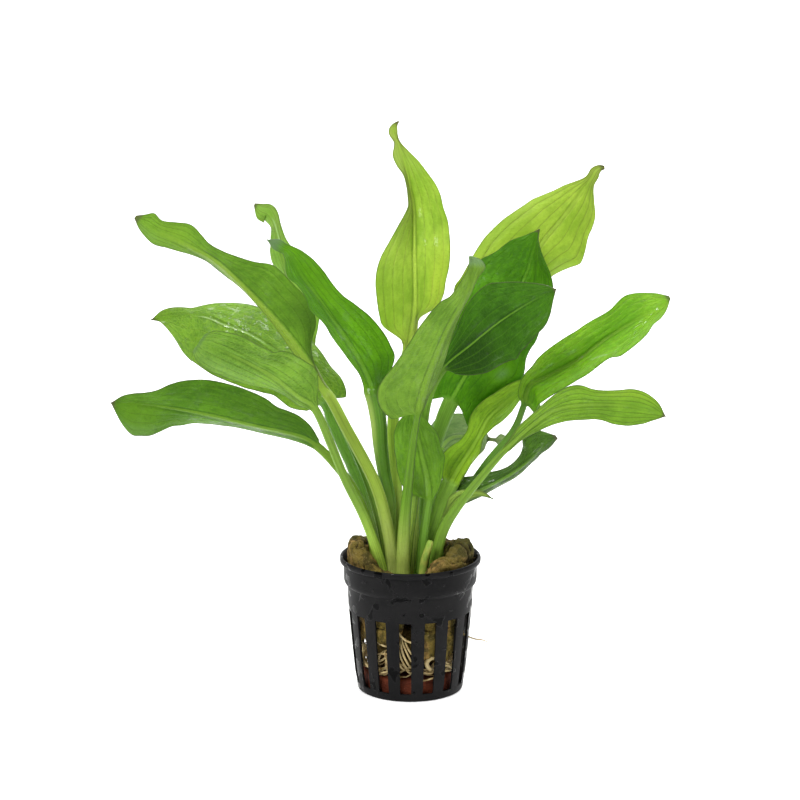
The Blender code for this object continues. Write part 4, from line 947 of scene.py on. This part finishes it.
        right_lift=(0, -1, -2, 0, 1, 0), left_lift=(0, -1, -2, 0, 1, 0),
        face=(0.145, 0.36, 0.02), foot=(0.22, 0.4, 0.05), stalk=(0.15, 0.32, 0.03), ridge=0.8, vein=-0.12,
        shade=((0.2, -0.5, 0.3, 0.4, -0.5), (0.5, 0.4, 0.3, 0.4, 0.2)),
    ),
    "back_right": dict(
        rib=((5.8, 8.6, 41.8), (6.4, 9.6, 50), (7.6, 12, 61), (8, 16, 71.5), (8.5, 20.5, 80), (11.5, 26, 85),
             (16, 31, 88), (22, 36, 87), (26.5, 40, 83.5), (28.5, 42, 81)),
        blade=5, petiole=(1.8, 1.3),
        right=(1.3, 5, 8, 8.5, 8, 8.5, 9, 9, 7.5, 5, 0), left=(1.3, 7, 9, 8.8, 8.6, 8.2, 8, 7.5, 6, 3, 0),
        right_lift=(0, -1, -2, -1, 0), left_lift=(0, 1, 2, 1, 0),
        face=(0.23, 0.38, 0.13), foot=(0.2, 0.38, 0.05), stalk=(0.2, 0.38, 0.05), ridge=0.6, vein=-0.12,
        pale=((0.6, -0.9, 0.5, 0.3, 0.6),),
    ),
    "back_far": dict(
        rib=((-3.6, 10.6, 41.8), (-3.6, 11.6, 50), (-1, 14, 60), (2, 20, 71), (5.5, 27, 80),
             (11.5, 34, 82.5), (19, 41, 84), (27, 48, 83.5), (33, 54, 81.5), (37.5, 58, 80.5)),
        blade=5, petiole=(1.8, 1.3),
        right=(1.3, 6, 8.5, 9, 8, 6, 4, 0.5, 0.5, 2.4, 1.5),
        left=(1.3, 4.5, 5, 5, 4.5, 4, 3.5, 0.5, 0.5, 2.4, 1.5),
        right_lift=(0, 1, 2, 1, 0), left_lift=(0, 1, 2, 1, 0),
        face=(0.23, 0.38, 0.12), foot=(0.2, 0.38, 0.05), stalk=(0.2, 0.38, 0.05), ridge=0.6, vein=-0.12,
    ),
    "curled": dict(
        rib=((10.8, 0, 41.8), (10.8, 0.2, 52), (11, 0.4, 60), (12.6, 0.7, 66), (16, 0.9, 71), (21, 1, 73.5),
             (26.5, 1, 75.5), (37, 0, 81.5), (44, -1.5, 87.5), (48, -2.5, 92), (53.5, -4, 96.5)),
        blade=3, petiole=(1.6, 1.3),
        right=(1.3, 2.5, 3, 2.5, 2, 2, 2, 1.5, 1.5, 1.8, 0.6),
        left=(1.3, 4, 6.5, 6, 5, 3.5, 3, 4, 7, 6.5, 1),
        right_lift=(0, -2, -3, -3, -3, -2, 0), left_lift=(0, -1, -2, -3, -4, -2, 0),
        face=(0.055, 0.155, 0.009), foot=(0.14, 0.3, 0.03), stalk=(0.14, 0.3, 0.03), gloss=0.3, shine=0.9,
        specular=0.2, clear=0.12,
        shade=((0.45, 0.9, 0.3, 0.4, 0.5),),
    ),
    "fragment": dict(
        rib=((7.2, -2, 41.8), (8.2, -2.2, 50), (10.6, -2.6, 57), (13, -3.6, 65), (15.6, -4, 70.5),
             (19, -4, 74), (23.5, -3, 75.2), (27.2, -2, 74.3), (30.5, -1.5, 72.5)),
        blade=3, petiole=(1.8, 1.6),
        right=(1.6, 2, 3, 3, 3, 2.5, 2, 1.5, 1, 0.6, 0), left=(1.6, 1.8, 2, 3, 3, 2.5, 1.5, 1.2, 1, 0.6, 0),
        right_lift=(0, 0), left_lift=(0, 0),
        face=(0.28, 0.48, 0.07), foot=(0.13, 0.2, 0.04), stalk=(0.16, 0.28, 0.04),
    ),
}


def evenly(values, t):
    """The listed values, equally spaced over 0 to 1, read at t on a smooth curve."""
    steps = np.column_stack([np.arange(len(values)), np.array(values, float)])
    curve, _, _ = smooth_route(steps, 30 * len(values))
    return np.interp(t * (len(values) - 1), curve[:, 0], curve[:, 1])


def leaf_sheet(c, s, t, frame_lines, edges, lifts, lobes, seed):
    """The blade's middle sheet: out from the midrib by the edge's distance times c, nearer by the
    edge's lift along a rounded V, bellied between midrib and margin, sunk along the side veins, and
    fluttering towards the margin on two sines of the length. Near its foot the margin is pushed back
    towards the crown by t times an exponential, which makes a rounded lobe on either side."""

    def either(right, left):
        return np.where(c >= 0, right, left)

    centre, across, nearer, tangent = (line[:, None] for line in frame_lines)
    flank = np.abs(c)
    start = np.where(t < BASE_SHARE, BASE_SHARE * np.sqrt(t / BASE_SHARE), t)
    reach = np.maximum(either(*(evenly(edge, start) for edge in edges)), 0.25)
    rise = either(*(evenly(lift, t) for lift in lifts))
    turns = np.random.default_rng(seed).uniform(0, 2 * np.pi, 4)
    flutter = np.sin(s / LONG_WAVE + either(*turns[:2]))
    flutter = flutter + 0.6 * np.sin(s / SHORT_WAVE + either(*turns[2:]))
    flutter = FLUTTER * flutter * flank**2 * np.sin(np.pi * t) ** 0.7 * np.minimum(reach / 6, 1)
    fold = (np.sqrt(flank**2 + 0.0064) - 0.08) / 0.923
    belly = 0.06 * reach * np.sin(np.pi * flank) * np.sin(np.pi * t) ** 0.5
    grooves = sum(bell((flank - place) * reach, VEIN_WIDTH) for place in SIDE_VEINS)
    grooves = -VEIN_SINK * grooves * np.minimum(t * 6, 1)
    grooves = grooves * np.minimum((1 - t) * 4, 1) * np.minimum(reach / 6, 1)
    lift = rise * fold + belly + grooves + flutter
    back = either(*lobes) * flank**1.5 * (t / LOBE_SHARE) * np.exp(1 - t / LOBE_SHARE)
    sheet = centre + (reach * c)[..., None] * across + lift[..., None] * nearer - back[..., None] * tangent
    return sheet, reach


def leaf_surface(seed, rib, blade, petiole, right, left, right_lift, left_lift, lobes=(0, 0)):
    """Rings round the petiole, then round the blade. Across the petiole a ring is a circle with a
    channel in its upper side. Across the blade it runs over the near face and back over the far one,
    half a thickness off the middle sheet along its normal, with the midrib standing out behind. Over
    the foot of the blade the one ring turns smoothly into the other."""
    curve, length, marks = smooth_route(rib, 600)
    start, end = marks[blade], length[-1]
    u = np.linspace(0, 1, BLADE_ROWS)
    u = 0.6 * u + 0.4 * (0.5 - 0.5 * np.cos(np.pi * u))
    s = np.concatenate([np.linspace(0, start, PETIOLE_ROWS)[:-1], start + (end - start) * u])
    centre, slope = (np.stack([np.interp(s, length, line[:, k]) for k in range(3)], axis=1)
                     for line in (curve, np.gradient(curve, length, axis=0)))
    tangent = unit(slope)
    across = unit(np.cross(SIGHT, tangent))
    nearer = np.cross(across, tangent)
    nearer *= -np.sign(nearer @ SIGHT)[:, None]
    s, t = s[:, None], np.clip((s - start) / (end - start), 0, 1)[:, None]

    p = np.linspace(-1, 1, FACE_COLUMNS)
    c = 0.5 * p + 0.5 * np.sin(np.pi / 2 * p)
    lines = (centre, across, nearer, tangent)
    sheet, reach = leaf_sheet(c, s, t, lines, (right, left), (right_lift, left_lift), lobes, seed)
    normal = np.cross(np.gradient(sheet, axis=1), np.gradient(sheet, axis=0))
    normal = unit(normal + 1e-9)
    normal *= np.where((normal * nearer[:, None]).sum(-1) < 0, -1.0, 1.0)[..., None]
    thin = BLADE_HALF * np.sqrt(np.clip(1 - np.abs(c) ** 8, 0, 1))
    stem = petiole[1] * (1 - t) ** 1.4
    off = np.abs(c) * reach / (stem + 0.5)
    rib_back = (0.75 * stem + 0.25) * np.sqrt(np.clip(1 - off**2, 0, 1)) * np.minimum((1 - t) * 12, 1)
    trough = bell(c * reach, 0.35 * stem + 0.35) - 0.8 * bell(np.abs(c) * reach - 1.5, 0.6)
    rib_front = -0.14 * trough * np.minimum((1 - t) * 8, 1) * np.minimum(reach / 3, 1)
    near_face = sheet + normal * (thin + rib_front)[..., None]
    far_face = sheet - normal * (thin + rib_back)[..., None]

    stalk = np.interp(s, [0, start * 0.25, start], [petiole[0] * 1.12, petiole[0] * 0.96, petiole[1]])
    way = np.pi * (1 + p) / 2
    channel = 0.25 * bell(p, 0.4) * np.minimum(s / start, 1)
    out = (-np.cos(way) * stalk)[..., None] * across[:, None]
    up = (np.sin(way) * stalk)[..., None] * nearer[:, None]
    flat = np.clip(t / FLAT_SHARE, 0, 1)
    flat = (flat * flat * (3 - 2 * flat))[..., None]
    near_round = centre[:, None] + out + up * (1 - channel)[..., None]
    far_round = centre[:, None] + out - up
    near_face = near_round + (near_face - near_round) * flat
    far_face = far_round + (far_face - far_round) * flat
    points = np.concatenate([near_face, far_face[:, -2:0:-1]], axis=1)

    rows, columns = points.shape[:2]
    c = np.concatenate([c, c[-2:0:-1]])
    reach = np.concatenate([reach, reach[:, -2:0:-1]], axis=1)
    along = np.where(s < start, s / start - 1, t)
    readings = {
        "along": along + 0 * c,
        "length": s + 0 * c,
        "across": c + 0 * t,
        "edge": (1 - np.abs(c)) * reach,
        "rib": np.where(t > 0, np.abs(c) * reach, np.abs(c) * petiole[1]),
        "leafy": flat[..., 0] + 0 * c,
        "near": np.where(np.arange(columns) < FACE_COLUMNS, 1.0, 0.0) + 0 * t,
    }
    return points, closed_faces(rows, columns), readings


def patches(along, across, shade):
    """Soft oval patches, each a bell curve in its place along and across the leaf, added together."""
    total = 0 * along
    for middle, side, spread, width, depth in shade:
        total = total + depth * np.exp(-(((along - middle) / spread) ** 2) - ((across - side) / width) ** 2)
    return total


def drawn_lines(along, across, marks):
    """Lines from one place on the leaf to another, each a bell curve across, fading at both ends."""
    total = 0 * along
    for along_0, across_0, along_1, across_1, width, depth in marks:
        share = (along - along_0) / (along_1 - along_0)
        ends = np.clip(share * 6, 0, 1) * np.clip((1 - share) * 6, 0, 1)
        middle = across_0 + (across_1 - across_0) * share
        total = total + depth * ends * bell(across - middle, width)
    return total


def tinted(colour, times, plus=0.0, most=1.0):
    """The colour with each channel times a factor, plus a little, and at most as given."""
    return tuple(min(channel * times + plus, most) for channel in colour)


def leaf_tissue(name, seed, face, foot, stalk, vein=-0.3, gloss=0.36, clear=0.30, ladder=0.12,
                ridge=0.5, shine=0.3, tip=(0.10, 0.085, 0.045), tip_from=0.972, specular=0.12):
    """Green blade with side veins, faint cross veins, cloudy patches and fine streaks, a paler midrib
    that runs into the petiole, and a thin grey-brown margin. Painted shade darkens the listed darker
    patches, the channel beside the midrib and the dark lines; painted light partly makes the yellower
    patches, and painted sheen and highlights make the whitish patches and the light lines. Where it
    is thin, light passes through."""
    finish = Finish(name + "_tissue", Specular_IOR_Level=specular, Coat_Roughness=0.09)
    along, length, across, edge = (finish.read(n) for n in ("along", "length", "across", "edge"))
    rib, leafy, near, shade = (finish.read(n) for n in ("rib", "leafy", "near", "shade"))
    pale_tone_and_sheen, lines = finish.read("pale_tone_and_sheen"), finish.read("lines")
    flank = abs(across)
    spread = edge / (1.02 - flank)
    cloud, speck = finish.mottle(14.0, 4.0), finish.mottle(1.2, 5.0, 0.62)
    grain = finish.noise(finish.spot(length * 0.28, across * 11.0, seed * 2.9), 5.0, 0.65)
    streak = finish.noise(finish.spot(length * 0.035, across * 5.0, seed * 1.3), 4.0)
    deep, dark = tinted(face, 0.60), tinted(face, 0.33)
    fresh = (face[0] * 1.28, face[1] * 1.14, face[2] * 1.2)
    yellow = (min(face[0] * 1.65, 0.6), min(face[1] * 1.28, 0.7), face[2] * 1.35)
    under = (face[0] * 1.1 + 0.04, face[1] * 0.98 + 0.03, face[2] + 0.05)
    pale = tuple(0.3 * a + 0.7 * b for a, b in zip(yellow, stalk))

    side_veins = sum((abs(flank - position) * spread).falling(0.04, 0.30) for position in SIDE_VEINS)
    side_veins = side_veins * leafy * cloud.rising(0.10, 0.45)
    steps = finish.spot(length * 0.85 + flank * spread * 0.35, across * 7.0, seed * 3.7)
    cross_veins = finish.node("ShaderNodeTexVoronoi", {"feature": "DISTANCE_TO_EDGE"},
                              {"Vector": steps, "Scale": 1.0})
    cross_veins = cross_veins.falling(0.0, 0.16) * leafy
    width = (1.0 - along) * ridge + 0.26
    # The channel beside the midrib, which the colour below darkens as painted shade.
    shaded_groove = abs(rib - width - 0.30).falling(0.05, 0.45) * leafy * along.falling(0.6, 1.0)
    middle = (rib / width).falling(0.6, 1.05) * along.falling(0.55, 1.0)
    blade = finish.layered(
        deep,
        (cloud.rising(0.34, 0.64), fresh),
        (streak.rising(0.45, 0.72) * 0.40, fresh),
        (streak.falling(0.28, 0.48) * 0.40, deep),
        (grain.rising(0.46, 0.64) * 0.55, fresh),
        (grain.falling(0.36, 0.52) * 0.55, deep),
        # Listed patches: the darker ones are painted shade, the yellower ones partly own tone and partly
        # painted light.
        (shade.rising(0.0, 1.0), yellow),
        (shade.falling(-1.0, 0.0), dark),
        (speck.rising(0.48, 0.70) * 0.45, deep),
        ((1 - near) * 0.6, under),
        # Whitish patches: mostly painted sheen, partly pale tone.
        (pale_tone_and_sheen * (0.7 + grain * 0.6), tinted(fresh, 0.9, 0.075)),
        (side_veins * abs(vein), yellow if vein > 0 else tinted(face, 0.42)),
        (cross_veins * ladder, yellow),
        # Painted shade in the channel beside the midrib.
        (shaded_groove * 0.5, dark),
        (middle * 0.85, pale),
        # Light lines: pale veins and painted highlights along wet veins and fold edges; dark lines: painted
        # shade along folds.
        ((lines * (0.5 + grain)).rising(0.3, 1.1), (0.46, 0.64, 0.26)),
        (lines.falling(-1.0, -0.1) * 0.75, dark),
    )
    stripes = finish.noise(finish.spot(length * 0.02, rib * 2.4 + near * 3.0, seed * 2.1), 3.0)
    stem = finish.layered(
        foot,
        (along.rising(-0.92, -0.45), stalk),
        (stripes.rising(0.42, 0.68) * 0.6, tinted(stalk, 0.5)),
        (speck.rising(0.5, 0.8) * 0.3, tinted(stalk, 0.6)),
        # On the petiole too: the darker patches are painted shade, the yellower ones partly painted light.
        (shade.falling(-1.0, 0.0), tinted(stalk, 0.35)),
        (shade.rising(0.0, 1.0), (0.36, 0.50, 0.10)),
    )
    rim = edge.falling(0.12, 0.55) * leafy * speck.rising(0.1, 0.45)
    colour = finish.layered(
        stem,
        (leafy, blade),
        (rim * 0.65, (0.075, 0.095, 0.030)),
        (along.rising(tip_from, tip_from * 0.4 + 0.6) * 0.75, tip),
    )

    wet = finish.noise(finish.spot(length * 0.35, across * 6.0, seed * 5.3), 4.0, 0.6, 0.6).rising(0.52, 0.60)
    wet = wet * cloud.rising(0.38, 0.52) * shine
    height = 0.5 * cross_veins - 0.6 * lines - 0.5 * side_veins - 0.8 * shaded_groove
    height = height + 0.5 * speck + 0.9 * grain + 0.7 * streak + wet * finish.mottle(1.1, 2.0) * 2.5
    rough = (gloss + speck * 0.20 + cloud * 0.12) * (1 - wet * 0.75)
    finish.wear(Base_Color=colour, Roughness=rough, Normal=finish.bumped(height, 0.62, 0.4), Coat_Weight=wet)
    glow = tinted(face, 1.35, 0.01, 0.85)
    lit = finish.node("ShaderNodeBsdfTranslucent", None, {"Color": glow})
    surface = Reading(finish, finish.shader.outputs[0])
    share = leafy * (1 - side_veins * 0.5 - middle * 0.6 - shaded_groove * 0.3 - cloud * 0.3) * clear
    mixed = finish.node("ShaderNodeMixShader", None, (share, surface, lit))
    finish.join(mixed, finish.tree.nodes["Material Output"].inputs["Surface"])
    return finish.material


SHAPE_KEYS = ("rib", "blade", "petiole", "right", "left", "right_lift", "left_lift", "lobes")
for seed, (place, leaf) in enumerate(LEAVES.items()):
    name, node = place + "_leaf", "leaf_" + place
    shade, pale, lines = (leaf.pop(key, ()) for key in ("shade", "pale", "lines"))
    shape = {key: leaf.pop(key) for key in SHAPE_KEYS if key in leaf}
    points, faces, readings = leaf_surface(seed, **shape)
    # Each leaf's listed patches and lines, painted shade, painted light and sheen among them, become readings
    # on its mesh.
    where = readings["along"], readings["across"]
    readings["shade"], readings["pale_tone_and_sheen"] = patches(*where, shade), patches(*where, pale)
    readings["lines"] = drawn_lines(*where, lines)
    grow_piece(name, points, faces, leaf_tissue(name, seed, **leaf), [node], readings)

# The petiole stub: what is left of a leaf that was cut off at the nursery, straw yellow and drying
# at the cut.
STUB_ROUTE = ((4.2, -11.6, 41.8), (4.8, -11.8, 50), (6, -12, 55), (7.4, -11.9, 59.5))


def cut_petiole():
    """Straw yellow with greener stretches."""
    finish = Finish("cut_petiole_flesh", Specular_IOR_Level=0.3)
    patch, fine = finish.mottle(3.0), finish.mottle(0.5, 2.0)
    colour = finish.blend(patch.rising(0.35, 0.65), (0.40, 0.46, 0.08), (0.24, 0.38, 0.05))
    return finish.wear(Base_Color=colour, Roughness=0.4 + patch * 0.2, Normal=finish.bumped(fine, 0.4, 0.2))


stub_line = smooth_route(STUB_ROUTE, ROUTE_SAMPLES)[0]
stub_thick = np.interp(np.linspace(0, 1, ROUTE_SAMPLES), (0, 0.3, 0.93, 1), (1.7, 1.5, 1.2, 0.9))
stub_points, stub_faces = tubes(stub_line[None], stub_thick[None], sides=28)
grow_piece("cut_petiole", stub_points, stub_faces, cut_petiole(), ["petiole_stub"])

# The floor and backdrop: one pale sheet that runs level under the pot and curves up behind it. It
# is lit through from behind, so it glows a little.
SWEEP_WIDTH = 3000
SWEEP_FRONT = -1600
SWEEP_DEPTH = 1400
SWEEP_BEND = 600
SWEEP_TOP = 2600
bend_start = SWEEP_DEPTH - SWEEP_BEND
bend_angles = np.linspace(0, np.pi / 2, 24)[1:]
line = np.vstack([
    [(y, 0.0) for y in np.linspace(SWEEP_FRONT, bend_start, 12)],
    np.stack([bend_start + SWEEP_BEND * np.sin(bend_angles), SWEEP_BEND * (1 - np.cos(bend_angles))], 1),
    [(SWEEP_DEPTH, z) for z in np.linspace(SWEEP_BEND, SWEEP_TOP, 8)[1:]],
])
width = np.linspace(-SWEEP_WIDTH, SWEEP_WIDTH, 13)
sweep_points = np.stack(np.broadcast_arrays(width, line[:, :1], line[:, 1:]), -1)
sweep_mesh = bpy.data.meshes.new("paper_sweep")
sweep_faces = grid_faces(len(line), len(width), False).reshape(-1, 4).tolist()
sweep_mesh.from_pydata((sweep_points.reshape(-1, 3) * MM).tolist(), [], sweep_faces)
sweep_mesh.shade_smooth()
paper = Finish("pale_paper", Specular_IOR_Level=0.05, Roughness=0.9, Emission_Strength=0.42)
paper.shader.inputs["Base Color"].default_value = (0.80, 0.80, 0.80, 1.0)
paper.shader.inputs["Emission Color"].default_value = (1.0, 1.0, 1.0, 1.0)
sweep_mesh.materials.append(paper.material)
sweep = bpy.data.objects.new("paper_sweep", sweep_mesh)
bpy.context.scene.collection.objects.link(sweep)

# The light: a dim white tent all round, a broad soft box over the front left, one above, and one
# behind that comes through the leaves.
TENT_STRENGTH = 0.22
world = bpy.data.worlds.new("white_tent")
world.use_nodes = True
tent = world.node_tree.nodes["Background"].inputs
tent["Color"].default_value = (1.0, 1.0, 1.0, 1.0)
tent["Strength"].default_value = TENT_STRENGTH
bpy.context.scene.world = world


def soft_box(name, place, aim, size, watts):
    """A round lamp of the given size in metres that faces from its place to the aim."""
    lamp = bpy.data.lights.new(name, "AREA")
    lamp.shape = "DISK"
    lamp.size = size
    lamp.energy = watts
    box = bpy.data.objects.new(name, lamp)
    box.location = place
    way = np.array(aim) - np.array(place)
    down = math.acos(-way[2] / np.linalg.norm(way))
    box.rotation_euler = (down, 0, math.atan2(way[1], way[0]) - math.pi / 2)
    bpy.context.scene.collection.objects.link(box)


soft_box("front_box", place=(-0.55, -0.95, 1.15), aim=(0, 0, 0.1), size=0.6, watts=15)
soft_box("back_box", place=(0.35, 0.75, 0.9), aim=(0, 0, 0.12), size=0.9, watts=15)
soft_box("top_box", place=(0, -0.1, 1.3), aim=(0, 0, 0.1), size=1.0, watts=12)

# The camera: level with the leaves and a metre off, looking down a little, as the photograph was
# taken.
CAMERA_PLACE = (-0.0038, -1.0, 0.336)
CAMERA_LENS = 126.2
camera_data = bpy.data.cameras.new("camera")
camera_data.lens = CAMERA_LENS
camera_data.sensor_width = 36
camera = bpy.data.objects.new("camera", camera_data)
camera.location = CAMERA_PLACE
camera.rotation_euler = (math.radians(90 - SIGHT_PITCH), 0, 0)
bpy.context.scene.collection.objects.link(camera)
bpy.context.scene.camera = camera
bpy.context.scene.view_settings.view_transform = "Standard"
